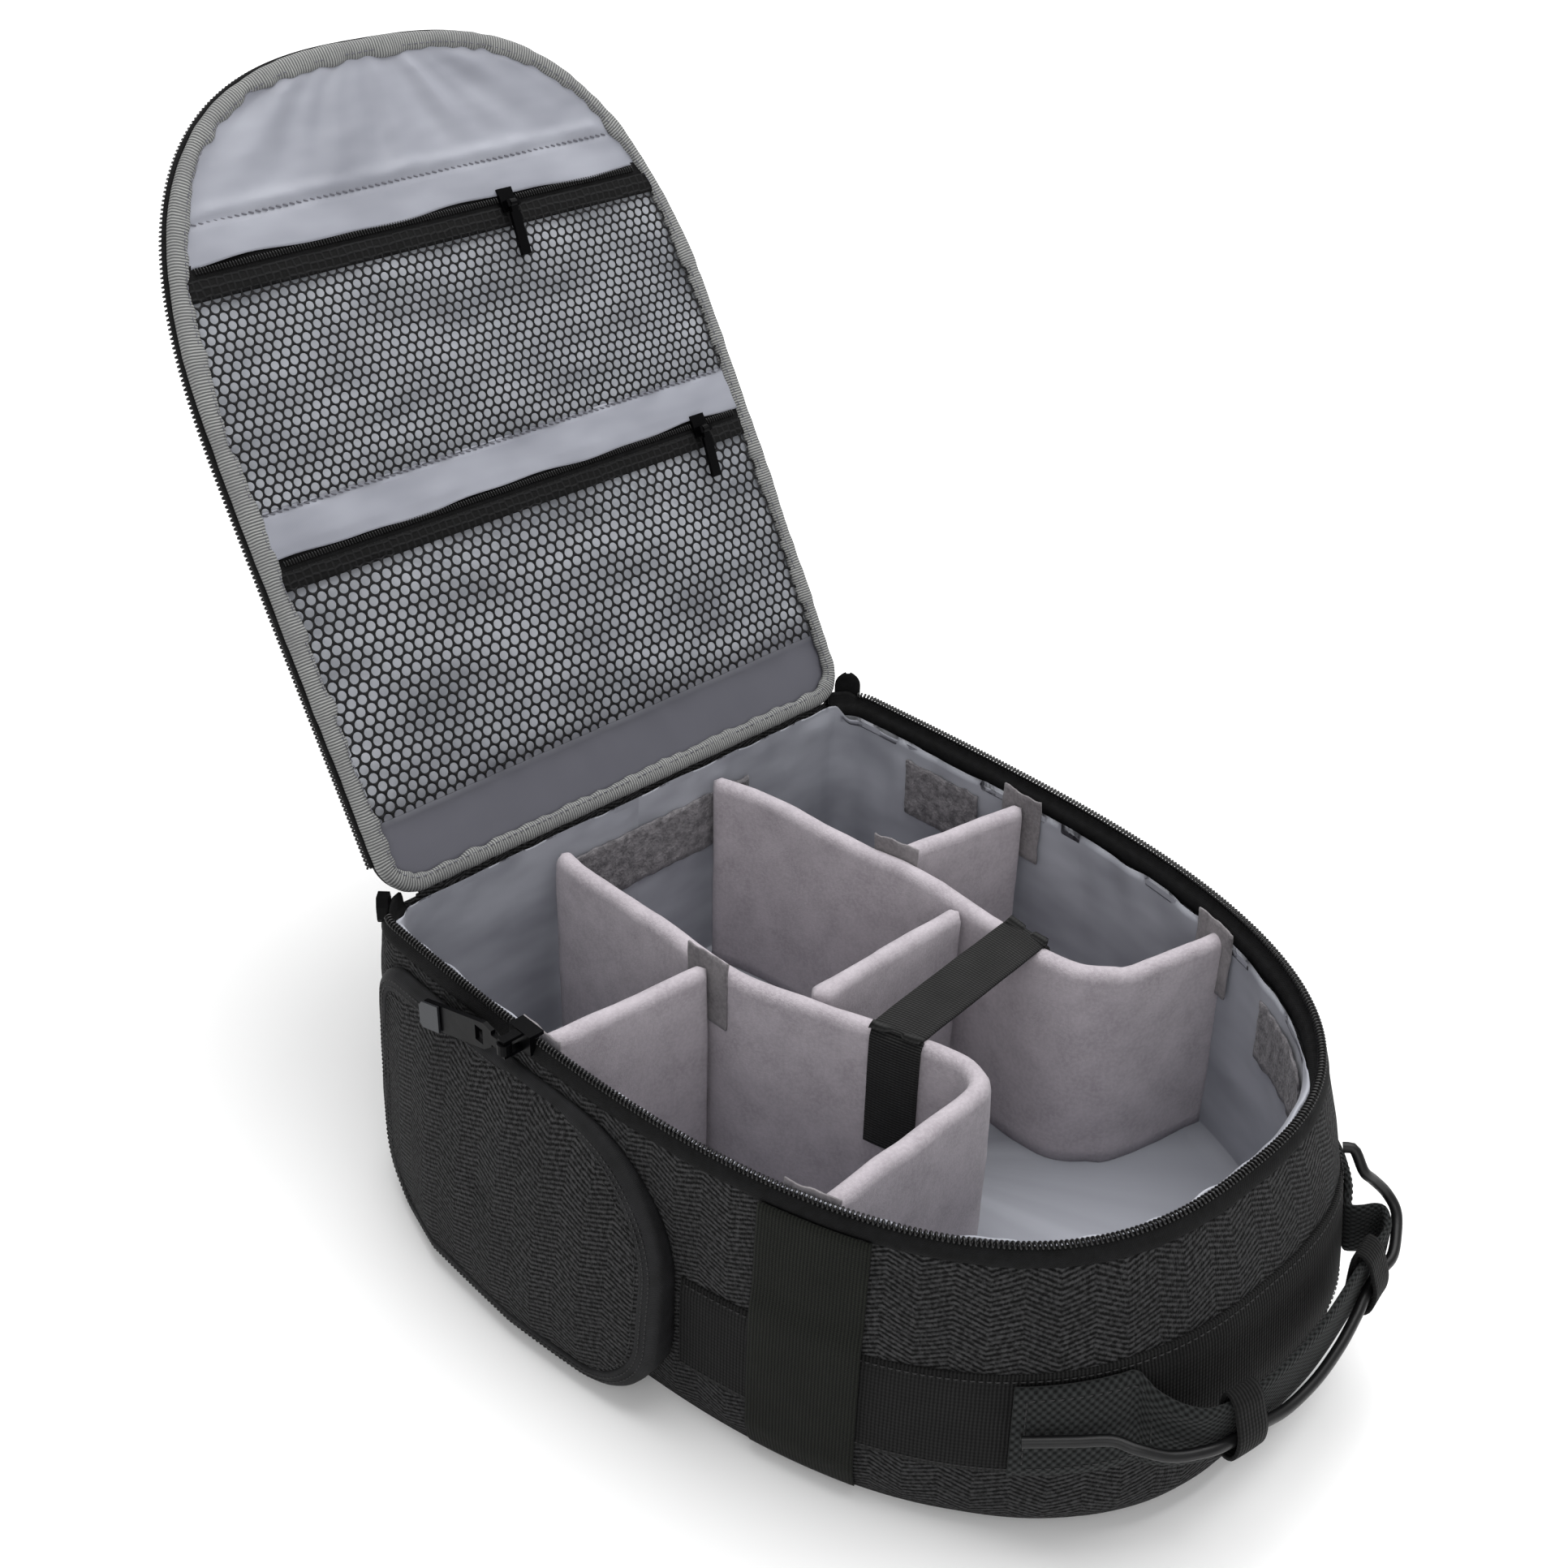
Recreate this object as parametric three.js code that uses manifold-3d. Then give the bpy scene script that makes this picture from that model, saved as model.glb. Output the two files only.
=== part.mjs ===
// Camera backpack, lying on its harness side with the lid open. Millimetres, +Z up.
// +Y points to the hinge end, -Y to the arch with the haul handle, X is across.
import * as THREE from 'three';
import { mergeVertices } from 'three/addons/utils/BufferGeometryUtils.js';
import Module from 'manifold-3d';

const wasm = await Module();
wasm.setup();

// Driving sizes of the opening and the body
const openingLength = 350; // hinge end to arch top, along the zip line
const openingHalf = 147; // half of the greatest width
const openingHingeHalf = 145; // half of the width at the hinge
const openingCorner = 22; // radius of the hinge corners
const openingStraight = 103; // length of the straight sides
const openingPower = 2.6; // roundness of the arch
const bodyDepth = 133; // floor to zip line
const sideBulge = 3; // how far the padded wall swells at the sides
const archBulge = 20;
const hingeBulge = 4;
const wallThick = 8; // cloth, foam and lining together
const wallTopDrop = 7; // the padding ends this far under the zip line
const liningThick = 1.2;
const liningTopDrop = 2.5; // the lining ends this far under the zip line
const panelThick = 10; // padded back panel
const panelRaise = 8; // hollow under it, where the straps lie
const gap = 0.4; // clearance between sewn pieces
const fine = 0.3; // clearance between pieces in close touch

// Zips
const tapeThick = 1.2;
const teethWide = 3;
const teethHigh = 2;
const rimTapeIn = 2.6; // from the wall's outer face to the tape's

// Driving sizes of the lid, in its own plane: x across, y up from the hinge, z out of its inner face
const lidAngle = 120.2; // opened from closed, degrees
const lidLength = 347.4;
const lidNarrower = 12.3; // its half width falls this short of the opening's
const lidHingeNarrower = 11; // and its half hinge edge
const lidHalf = openingHalf - lidNarrower;
const lidHingeHalf = openingHingeHalf - lidHingeNarrower;
const lidCorner = 18;
const lidStraight = 175;
const lidPower = 2.8;
const lidSetback = 8; // hinge end's outer face to the lid's inner face
const lidPanelThick = 4.5;
const lidPanelFoot = 4.3; // how far the padding reaches under the hinge line
const lidCrown = 2; // the padding is thicker in the middle
const bindingWide = 9;
const bindingHigh = 2.7;
const lidTapeWide = 3;

// Lid pockets, all distances from the hinge line
const upperFlapEdge = 270.5;
const upperHeadLow = 257;
const lowerStitch = 169;
const lowerFlapEdge = 149;
const lowerHeadLow = 136.5;
const netFoot = 35; // gathered lower edge of the lower net
const clothThick = 1.1;
const pocketTapeWide = 4;
const netHoleAcross = 15; // coarse stand-in for the net's openings
const netStrand = 4.8;
const upperPullerAcross = 41;
const lowerPullerAcross = 102;

// Pull bars of the pocket zips
const barLength = 23;
const barWide = 5;
const barThick = 1.8;

// Main slider and its long puller
const sliderAlong = 113; // from the hinge end
const sliderLength = 13;
const pinRadius = 1;
const pinOut = 8.8; // pin's distance from the wall's face
const pullerLength = 54;
const pullerWide = 13;
const pullerThick = 2;
const pullerDroop = 14; // how far its end hangs lower
const pullerSplay = 0.524; // degrees between the puller and the wall beside it
const pullerEndLength = 13;

// Side pocket on the left wall
const pocketFrom = 21; // its hinge end, from the body's hinge end
const pocketTo = 199; // its front edge
const pocketLow = 5;
const pocketDrop = 15; // its top edge lies this far under the zip line
const pocketHigh = bodyDepth - pocketDrop;
const pocketThick = 2;
const pocketStep = 26; // longest stretch of its edge without a point
const pocketProudTop = 3;
const pocketProudLow = 19;
const pocketPillow = 4; // its panel swells this much in the middle

// Straps on the outside
const elasticFrom = 235; // from the hinge end
const elasticTo = 277;
const elasticThick = 1.4;
const elasticLow = 3;
const bandWide = 46;
const bandThick = 1.4;
const bandLevel = 46; // middle of the band at the sides
const bandRise = 20; // it runs this much higher round the arch
const strapWide = 62; // shoulder straps
const strapLength = 265;
const strapFromMiddle = 70;
const strapShift = 22; // towards the hinge end

// Haul handle
const handleHalf = 100;
const handleReach = 14; // beyond the arch's front
const handleEndWide = 42;
const handleMiddleWide = 30;
const handleThick = 3;
const keeperWide = 14;
const keeperThick = 1.5;
const cordRadius = 2.25;

// Padded dividers
const dividerThick = 9;
const dividerTop = 0.925; // share of the body's depth
const tabThick = 1;
const tabWide = 24;
const tabHigh = 34;
const feltThick = 1.2;
const feltDrop = 19; // its upper edge lies this far under the zip line
const feltTall = 30;
const feltHigh = bodyDepth - feltDrop;
const feltLow = feltHigh - feltTall;
const feltHingeFrom = 40; // from the middle to its left end
const feltHingeTo = 68; // and to its right end
const dividerStrapWide = 23;
const dividerStrapThick = 1.5;

const hingeY = 179; // outer face of the hinge end
const wallTop = bodyDepth - wallTopDrop;
const panelTop = panelRaise + panelThick;
const floorTop = panelTop + gap + liningThick; // floor of the compartments
const liningIn = wallThick + gap; // lining's outer face, from the wall's
const clearIn = liningIn + liningThick; // its inner face

const backpack = new THREE.Group();

// Points of a D outline: hinge edge, corner, side and arch top, then mirrored
function dOutline(d, { hinge = 3, corner = 3, side = 3, arch = 10 } = {}) {
  const half = [];
  const inner = d.hingeHalf - d.corner;
  for (let i = 0; i < hinge; i++) {
    half.push([inner * i / hinge, 0]);
  }
  for (let i = 0; i <= corner; i++) {
    const a = Math.PI / 2 * i / corner;
    half.push([inner + d.corner * Math.sin(a), d.corner * (1 - Math.cos(a))]);
  }
  for (let i = 1; i < side; i++) {
    const s = i / side;
    const bow = (d.half - d.hingeHalf) * Math.sin(Math.PI / 2 * s);
    half.push([d.hingeHalf + bow, d.corner + (d.straight - d.corner) * s]);
  }
  for (let i = 0; i <= arch; i++) {
    const a = Math.PI / 2 * i / arch;
    const across = i === arch ? 0 : Math.pow(Math.cos(a), 2 / d.power);
    const along = Math.pow(Math.sin(a), 2 / d.power);
    half.push([d.half * across, d.straight + (d.length - d.straight) * along]);
  }
  const mirrored = half.slice(1, -1).reverse().map(([x, t]) => [-x, t]);
  return [...half, ...mirrored].map(([x, t]) => new THREE.Vector2(x, t));
}

// Outward normals of a closed loop of plane points, whichever way it runs
function loopNormals(loop) {
  const turn = Math.sign(THREE.ShapeUtils.area(loop));
  return loop.map((p, i) => {
    const before = p.clone().sub(loop[(i + loop.length - 1) % loop.length]).normalize();
    const after = loop[(i + 1) % loop.length].clone().sub(p).normalize();
    const along = before.add(after).normalize();
    return new THREE.Vector2(along.y * turn, -along.x * turn);
  });
}

function grow(loop, amount) {
  return loopNormals(loop).map((n, i) => loop[i].clone()
    .addScaledVector(n, typeof amount === 'function' ? amount(n) : amount));
}

// Triangulates one end loop in the plane that shows it best
function capLoop(row, offset, flip, index) {
  const area = new THREE.Vector3();
  row.forEach((p, i) => {
    const next = row[(i + 1) % row.length].clone().sub(row[0]);
    area.add(p.clone().sub(row[0]).cross(next));
  });
  const [ax, ay, az] = area.toArray().map(Math.abs);
  const flat = az >= ax && az >= ay ? 'z' : ax >= ay ? 'x' : 'y';
  const plane = { x: p => [p.y, p.z], y: p => [p.z, p.x], z: p => [p.x, p.y] }[flat];
  const loop = row.map(p => new THREE.Vector2(...plane(p)));
  for (const [a, b, c] of THREE.ShapeUtils.triangulateShape(loop.slice(), [])) {
    const forward = (a < b && b < c) || (b < c && c < a) || (c < a && a < b);
    const flipped = flip === forward;
    index.push(offset + a, offset + (flipped ? c : b), offset + (flipped ? b : c));
  }
}

// Closed geometry with its faces pointing out
function closed(positions, index) {
  const at = i => new THREE.Vector3(positions[3 * i], positions[3 * i + 1], positions[3 * i + 2]);
  let volume = 0;
  for (let i = 0; i < index.length; i += 3) {
    volume += at(index[i]).dot(at(index[i + 1]).cross(at(index[i + 2])));
  }
  if (volume < 0) {
    for (let i = 0; i < index.length; i += 3) {
      [index[i + 1], index[i + 2]] = [index[i + 2], index[i + 1]];
    }
  }
  const geometry = new THREE.BufferGeometry();
  geometry.setAttribute('position', new THREE.Float32BufferAttribute(positions, 3));
  geometry.setIndex(index);
  geometry.computeVertexNormals();
  return geometry;
}

// One closed body from rows of points, each row a closed loop of equal count.
// ring joins the last row to the first, otherwise both ends are capped.
function skin(rows, ring = false) {
  const count = rows[0].length;
  const positions = rows.flatMap(row => row.flatMap(p => [p.x, p.y, p.z]));
  const index = [];
  for (let r = 0; r < (ring ? rows.length : rows.length - 1); r++) {
    const next = ((r + 1) % rows.length) * count;
    for (let c = 0; c < count; c++) {
      const a = r * count + c;
      const b = r * count + (c + 1) % count;
      const d = next + c;
      const e = next + (c + 1) % count;
      index.push(a, b, e, a, e, d);
    }
  }
  if (!ring) {
    capLoop(rows[0], 0, true, index);
    capLoop(rows[rows.length - 1], (rows.length - 1) * count, false, index);
  }
  return closed(positions, index);
}

// Solids for cutting and joining
function toSolid(geometry) {
  const bare = geometry.clone();
  bare.deleteAttribute('normal');
  bare.deleteAttribute('uv');
  const merged = mergeVertices(bare, 1e-4);
  return new wasm.Manifold(new wasm.Mesh({
    numProp: 3,
    vertProperties: new Float32Array(merged.attributes.position.array),
    triVerts: new Uint32Array(merged.index.array),
  }));
}

function fromSolid(solid) {
  const mesh = solid.getMesh();
  const positions = [];
  for (let i = 0; i < mesh.vertProperties.length; i += mesh.numProp) {
    positions.push(mesh.vertProperties[i], mesh.vertProperties[i + 1], mesh.vertProperties[i + 2]);
  }
  return closed(positions, Array.from(mesh.triVerts));
}

const join = (...shapes) => fromSolid(shapes.map(toSolid).reduce((a, b) => a.add(b)));
function cut(shape, ...tools) {
  return fromSolid(tools.map(toSolid).reduce((a, b) => a.subtract(b), toSolid(shape)));
}

// A box between two corners
function block(from, to) {
  const size = to.map((v, i) => v - from[i]);
  return new THREE.BoxGeometry(...size).translate(...from.map((v, i) => v + size[i] / 2));
}

// A flat outline in two axes, given its thickness along the third
function plate(outline, from, to, axis) {
  const place = {
    x: (a, b, c) => new THREE.Vector3(c, a, b),
    y: (a, b, c) => new THREE.Vector3(a, c, b),
    z: (a, b, c) => new THREE.Vector3(a, b, c),
  }[axis];
  return skin([from, to].map(c => outline.map(([a, b]) => place(a, b, c))));
}

// A round bar along an axis
function pin(radius, length, axis, sides = 12) {
  const bar = new THREE.CylinderGeometry(radius, radius, length, sides);
  return axis === 'z' ? bar.rotateX(Math.PI / 2) : axis === 'x' ? bar.rotateZ(Math.PI / 2) : bar;
}

const finish = (color, roughness, metalness = 0) => new THREE.MeshStandardMaterial({
  color, roughness, metalness,
});
const materials = {
  herringbone: finish(0x2d2d2f, 0.92),
  tape: finish(0x1b1b1c, 0.8),
  plastic: finish(0x0e0e0f, 0.25),
  coil: finish(0x202022, 0.4),
  satin: finish(0x918f9a, 0.5),
  binding: finish(0x8a8a8a, 0.75),
  brushed: finish(0x8c8288, 0.95),
  felt: finish(0x787678, 1),
  webbing: finish(0x262626, 0.8),
  elastic: finish(0x282926, 0.85),
  net: finish(0x191919, 0.7),
  rubber: finish(0x1e1e1e, 0.5),
  steel: finish(0x5c5e62, 0.45, 0.6),
};

function add(parent, name, material, geometry) {
  const mesh = new THREE.Mesh(geometry, materials[material]);
  mesh.name = name;
  parent.add(mesh);
}

// The wall's outline and its swelling: level is a share of the body's depth, swell of the bulge
const openingLoop = dOutline({
  half: openingHalf,
  hingeHalf: openingHingeHalf,
  corner: openingCorner,
  straight: openingStraight,
  length: openingLength,
  power: openingPower,
}).map(p => new THREE.Vector2(p.x, hingeY - p.y));
const openingNormals = loopNormals(openingLoop);
const count = openingLoop.length;
const archIndex = count / 2;
const zipIndex = 5; // the zip starts in the hinge corner
const wallLevels = [
  { level: 0, swell: 0.15 },
  { level: 0.035, swell: 0.8 },
  { level: 0.12, swell: 1.08 },
  { level: 0.35, swell: 1 },
  { level: 0.6, swell: 0.75 },
  { level: 0.8, swell: 0.4 },
  { level: 0.93, swell: 0.05 },
  { level: 1, swell: 0 },
];
const innerShare = 0.6; // the inside swells less than the outside

function swellAt(z) {
  const share = Math.min(Math.max(z / bodyDepth, 0), 1);
  const i = Math.max(1, wallLevels.findIndex(l => l.level >= share));
  const a = wallLevels[i - 1];
  const b = wallLevels[i];
  return a.swell + (b.swell - a.swell) * (share - a.level) / (b.level - a.level);
}

// A point on the wall: place along the outline, height, distance out of its outer face.
// inside follows the flatter inner face.
function wallPoint(place, z, out, inside = false) {
  const i = Math.floor(place);
  const s = place - i;
  const corner = k => {
    const p = openingLoop[(k + count) % count];
    const n = openingNormals[(k + count) % count];
    const bulge = sideBulge * Math.abs(n.x) + (n.y < 0 ? archBulge : hingeBulge) * Math.abs(n.y) ** 2.3;
    const swell = swellAt(z) * (inside ? innerShare : 1);
    return p.clone().addScaledVector(n, bulge * swell + out);
  };
  const p = s === 0 ? corner(i) : corner(i).lerp(corner(i + 1), s);
  return new THREE.Vector3(p.x, p.y, z);
}

const wallLoop = (z, out, inside) => openingLoop.map((_, i) => wallPoint(i, z,
  typeof out === 'function' ? out(openingNormals[i]) : out, inside));

// The place along the outline, left side, that lies a given distance from the hinge end
function placeAlong(distance) {
  for (let i = archIndex; i < count; i++) {
    const a = openingLoop[i];
    const b = openingLoop[(i + 1) % count];
    if (a.y <= hingeY - distance && b.y >= hingeY - distance && b.y > a.y) {
      return i + (hingeY - distance - a.y) / (b.y - a.y);
    }
  }
  return count - zipIndex;
}

// The place on the arch where the wall lies a given distance across
function placeAcross(x, z, out) {
  for (let i = zipIndex; i < count - zipIndex; i++) {
    const a = wallPoint(i, z, out);
    const b = wallPoint(i + 1, z, out);
    if (a.y < 0 && b.y < 0 && a.x >= x && b.x <= x) {
      return i + (x - a.x) / (b.x - a.x);
    }
  }
  return archIndex;
}

// Whole places between two ends, with the ends
function placesBetween(from, to) {
  const places = [from];
  for (let i = Math.floor(from) + 1; i < to; i++) {
    places.push(i);
  }
  return [...places, to];
}

// A strip on the wall: low and high are heights or functions of the place
function wallStrip(from, to, low, high, near, far, { inside = false, rows = 1 } = {}) {
  const value = (v, u) => typeof v === 'function' ? v(u) : v;
  return skin(placesBetween(from, to).map(u => {
    const heights = [];
    for (let r = 0; r <= rows; r++) {
      heights.push(value(low, u) + (value(high, u) - value(low, u)) * r / rows);
    }
    return [
      ...heights.map(z => wallPoint(u, z, near, inside)),
      ...heights.reverse().map(z => wallPoint(u, z, far, inside)),
    ];
  }));
}

// Padded wall
const levels = wallLevels.slice(0, -1).map(l => l.level * bodyDepth);
add(backpack, 'side_wall', 'herringbone', skin([
  ...levels.slice(0, -1).map(z => wallLoop(z, 0)),
  wallLoop(wallTop - 3, 0),
  wallLoop(wallTop - 1, -1),
  wallLoop(wallTop, -rimTapeIn),
  wallLoop(wallTop, 2 - wallThick),
  wallLoop(wallTop - 2, -wallThick, true),
  ...levels.slice(1, -1).reverse().map(z => wallLoop(z, -wallThick, true)),
  wallLoop(0, -wallThick, true),
], true));

// Back panel, raised in the wall's lower edge
add(backpack, 'back_panel', 'herringbone', skin([
  wallLoop(panelRaise, -wallThick - 5, true),
  wallLoop(panelRaise + 3, -wallThick - 2, true),
  wallLoop(panelTop, -wallThick - 2, true),
]));

// Satin tray. Over the padding it leans out to the zip, but not at the hinge.
const leanOut = n => -liningIn + (liningIn - rimTapeIn - tapeThick - 2 * gap)
  * (1 - THREE.MathUtils.smoothstep(n.y, 0.3, 0.7));
const trayLevels = [panelTop + gap, ...levels.slice(3, -1), wallTop - 2];
const liningTop = bodyDepth - liningTopDrop;
add(backpack, 'inner_lining', 'satin', skin([
  ...trayLevels.map(z => wallLoop(z, -liningIn, true)),
  wallLoop(liningTop, leanOut, true),
  wallLoop(liningTop, n => leanOut(n) - liningThick, true),
  ...trayLevels.slice(1).reverse().map(z => wallLoop(z, -clearIn, true)),
  wallLoop(floorTop, -clearIn, true),
]));

// The body's half of the main zip
const zipPlaces = placesBetween(zipIndex, count - zipIndex);
const rimSweep = section => skin(zipPlaces.map(u => section.map(([out, z]) => wallPoint(u, z, out))));
add(backpack, 'rim_zip_tape', 'tape', rimSweep([
  [-rimTapeIn, wallTop + fine],
  [-rimTapeIn, bodyDepth - teethHigh / 2 - fine],
  [-rimTapeIn - tapeThick, bodyDepth - teethHigh / 2 - fine],
  [-rimTapeIn - tapeThick, wallTop + fine],
]));
const teethIn = rimTapeIn + tapeThick / 2;
add(backpack, 'rim_zip_teeth', 'coil', rimSweep([
  [-teethIn + teethWide / 2, bodyDepth - teethHigh / 2],
  [-teethIn + teethWide / 4, bodyDepth + teethHigh / 2],
  [-teethIn - teethWide / 4, bodyDepth + teethHigh / 2],
  [-teethIn - teethWide / 2, bodyDepth - teethHigh / 2],
]));

// Webbing band, from the side pocket round the arch and along the right side
const bandMiddle = u => bandLevel + bandRise * Math.max(0, -wallNormal(u).y) ** 1.5;
function wallNormal(place) {
  const i = Math.floor(place);
  return openingNormals[i % count].clone().lerp(openingNormals[(i + 1) % count], place - i).normalize();
}
const pocketFront = placeAlong(pocketTo + 4);
add(backpack, 'webbing_band', 'webbing', wallStrip(zipIndex + 1, pocketFront,
  u => bandMiddle(u) - bandWide / 2, u => bandMiddle(u) + bandWide / 2, gap, gap + bandThick, { rows: 5 }));
const overBand = 2 * gap + bandThick;
add(backpack, 'side_elastic', 'elastic', wallStrip(placeAlong(elasticTo), placeAlong(elasticFrom),
  elasticLow, wallTop - 4, overBand, overBand + elasticThick, { rows: 5 }));

// Shoulder straps, flat in the hollow under the back panel
const strapHigh = panelRaise - gap;
for (const [name, side] of [['shoulder_strap_left', -1], ['shoulder_strap_right', 1]]) {
  const cornerCut = strapWide / 4;
  const x = side * strapFromMiddle;
  const half = strapWide / 2;
  const end = strapLength / 2;
  add(backpack, name, 'herringbone', plate([
    [x - half + cornerCut, -end], [x + half - cornerCut, -end], [x + half, -end + cornerCut],
    [x + half, end - cornerCut], [x + half - cornerCut, end], [x - half + cornerCut, end],
    [x - half, end - cornerCut], [x - half, -end + cornerCut],
  ].map(([a, b]) => [a, b + strapShift]), 0, strapHigh, 'z'));
}

// Side pocket: a border that stands out of the wall and a swelling panel on it.
// The rounded outline lies in along (from the hinge end) and height.
const pocketCorners = [
  { along: pocketFrom, z: pocketLow, radius: 28 },
  { along: pocketTo, z: pocketLow, radius: 34 },
  { along: pocketTo, z: pocketHigh, radius: 52 },
  { along: pocketFrom, z: pocketHigh, radius: 14 },
];
function pocketOutline(inset) {
  const middle = new THREE.Vector2((pocketFrom + pocketTo) / 2, (pocketLow + pocketHigh) / 2);
  const loop = pocketCorners.flatMap((c, k) => {
    const right = c.along > middle.x ? 1 : -1;
    const up = c.z > middle.y ? 1 : -1;
    const start = [Math.PI, -Math.PI / 2, 0, Math.PI / 2][k];
    const points = [];
    for (let i = 0; i <= 5; i++) {
      const a = start + Math.PI / 2 * i / 5;
      points.push(new THREE.Vector2(c.along - right * c.radius + c.radius * Math.cos(a),
        c.z - up * c.radius + c.radius * Math.sin(a)));
    }
    return points;
  });
  const edges = loop.flatMap((p, i) => {
    const q = loop[(i + 1) % loop.length];
    const parts = Math.max(1, Math.round(p.distanceTo(q) / pocketStep));
    return Array.from({ length: parts }, (_, k) => p.clone().lerp(q, k / parts));
  });
  return grow(edges, -inset);
}
const pocketMiddle = new THREE.Vector2((pocketFrom + pocketTo) / 2, (pocketLow + pocketHigh) / 2);
// share of the full stand-out, along the pocket from its hinge end
const pocketStands = [
  { at: 0, share: 0.12 },
  { at: 0.3, share: 0.9 },
  { at: 0.6, share: 1 },
  { at: 1, share: 0.72 },
];
function shareAt(table, at) {
  const i = Math.max(1, table.findIndex(row => row.at >= at));
  const a = table[i - 1];
  const b = table[i];
  return a.share + (b.share - a.share) * THREE.MathUtils.clamp((at - a.at) / (b.at - a.at), 0, 1);
}
function pocketProud(p) {
  const down = THREE.MathUtils.clamp((pocketHigh - p.y) / (pocketHigh - pocketLow), 0, 1);
  const along = THREE.MathUtils.clamp((p.x - pocketFrom) / (pocketTo - pocketFrom), 0, 1);
  return pocketProudTop + (pocketProudLow - pocketProudTop) * down ** 0.8 * shareAt(pocketStands, along);
}
const pocketPlace = (p, out) => wallPoint(placeAlong(p.x), p.y, out);
const pocketLoop = (inset, out) => pocketOutline(inset).map(p => pocketPlace(p, out(p)));
// the panel's rings shrink towards its middle
const pocketRing = (share, out) => pocketOutline(0)
  .map(p => p.clone().lerp(pocketMiddle, 1 - share)).map(p => pocketPlace(p, out(p)));
add(backpack, 'side_pocket_gusset', 'tape', skin([
  pocketLoop(0, () => gap),
  pocketLoop(-1, p => pocketProud(p) - pocketThick / 2),
  pocketLoop(0.6, p => pocketProud(p)),
  pocketLoop(pocketThick, p => pocketProud(p) - gap),
  pocketLoop(pocketThick, () => gap),
], true));
const pocketSkin = swell => p => pocketProud(p) + gap + pocketPillow * swell;
add(backpack, 'side_pocket', 'herringbone', skin([
  pocketRing(0.35, pocketSkin(1)),
  pocketRing(0.7, pocketSkin(0.7)),
  pocketRing(0.94, pocketSkin(0.1)),
  pocketRing(1, pocketSkin(0)),
  pocketRing(0.995, pocketSkin(pocketThick / pocketPillow)),
  pocketRing(0.93, pocketSkin(0.1 + pocketThick / pocketPillow)),
  pocketRing(0.7, pocketSkin(0.7 + pocketThick / pocketPillow)),
  pocketRing(0.35, pocketSkin(1 + pocketThick / pocketPillow)),
]));

// Haul handle: a webbing strap that lies on the wall at both ends and bows out between them.
// across is a share of its half length. out, a share of its reach beyond the arch's front, is given
// where it hangs free. wide runs from middle to end.
const handleCourse = [
  { across: -1, wide: 1 },
  { across: -0.86, wide: 1 },
  { across: -0.72, wide: 1 },
  { across: -0.66, wide: 0.9 },
  { across: -0.632, out: -0.45, wide: 0.7 },
  { across: -0.585, out: 0.2, wide: 0.4 },
  { across: -0.49, out: 0.68, wide: 0.15 },
  { across: -0.27, out: 0.93, wide: 0 },
  { across: 0, out: 0.9, wide: 0 },
  { across: 0.21, out: 0.71, wide: 0 },
  { across: 0.48, out: 0.32, wide: 0 },
  { across: 0.62, out: 0.11, wide: 0 },
  { across: 0.74, out: 0, wide: 0 },
  { across: 0.81, out: -0.24, wide: 0 },
  { across: 0.845, out: -0.52, wide: 0 },
  { across: 0.83, out: -0.72, wide: 0 },
  { across: 0.79, out: -0.88, wide: 0 },
  { across: 0.757, out: -1.08, wide: 0 },
  { across: 0.755, out: -1.27, wide: 0.1 },
  { across: 0.8, wide: 0.3 },
  { across: 0.88, wide: 0.6 },
  { across: 1, wide: 0.6 },
];
const handleOut = overBand + gap;
const handleLevel = bandLevel + bandRise * 0.6;
const handleFront = wallPoint(archIndex, handleLevel, handleOut).y;
function handleStation({ across, out, wide }) {
  const x = across * handleHalf;
  const u = placeAcross(x, handleLevel, handleOut);
  const lying = out === undefined;
  const z = lying ? bandMiddle(u) : handleLevel + 2;
  const p = lying ? wallPoint(u, z, handleOut + handleThick / 2)
    : new THREE.Vector3(x, handleFront - out * handleReach, z);
  const lean = lying ? 1 : THREE.MathUtils.clamp(-out, 0, 1);
  return { u, lying, lean, p, z, wide: handleMiddleWide + (handleEndWide - handleMiddleWide) * wide };
}
// the ends bend with the wall, so they have a station at each of its corners
const handleRows = handleCourse.flatMap((row, i) => {
  const next = handleCourse[i + 1];
  if (!next || row.out !== undefined || next.out !== undefined) {
    return [row];
  }
  const corners = openingLoop.map((_, k) => wallPoint(k, handleLevel, handleOut))
    .filter(p => p.y < 0).map(p => p.x / handleHalf)
    .filter(v => v > row.across + 0.03 && v < next.across - 0.03);
  return [row, ...corners.map(across => ({ ...row, across }))];
});
const handleStations = handleRows.map(handleStation);
const handleNormals = handleStations.map(({ p }, i) => {
  const a = handleStations[Math.max(i - 1, 0)].p;
  const b = handleStations[Math.min(i + 1, handleStations.length - 1)].p;
  return new THREE.Vector3(b.y - a.y, a.x - b.x, 0).normalize();
});
add(backpack, 'handle_strap', 'webbing', skin(handleStations.map((s, i) => [
  [-1, -1], [-1, 0], [-1, 1], [1, 1], [1, 0], [1, -1],
].map(([n, v]) => {
  const z = s.z + v * s.wide / 2;
  const leaning = wallPoint(s.u, z, handleOut).sub(wallPoint(s.u, s.z, handleOut)).multiplyScalar(s.lean);
  return s.lying ? wallPoint(s.u, z, handleOut + (1 + n) * handleThick / 2)
    : s.p.clone().addScaledVector(handleNormals[i], n * handleThick / 2).add(leaning).setZ(z);
}))));

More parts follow.
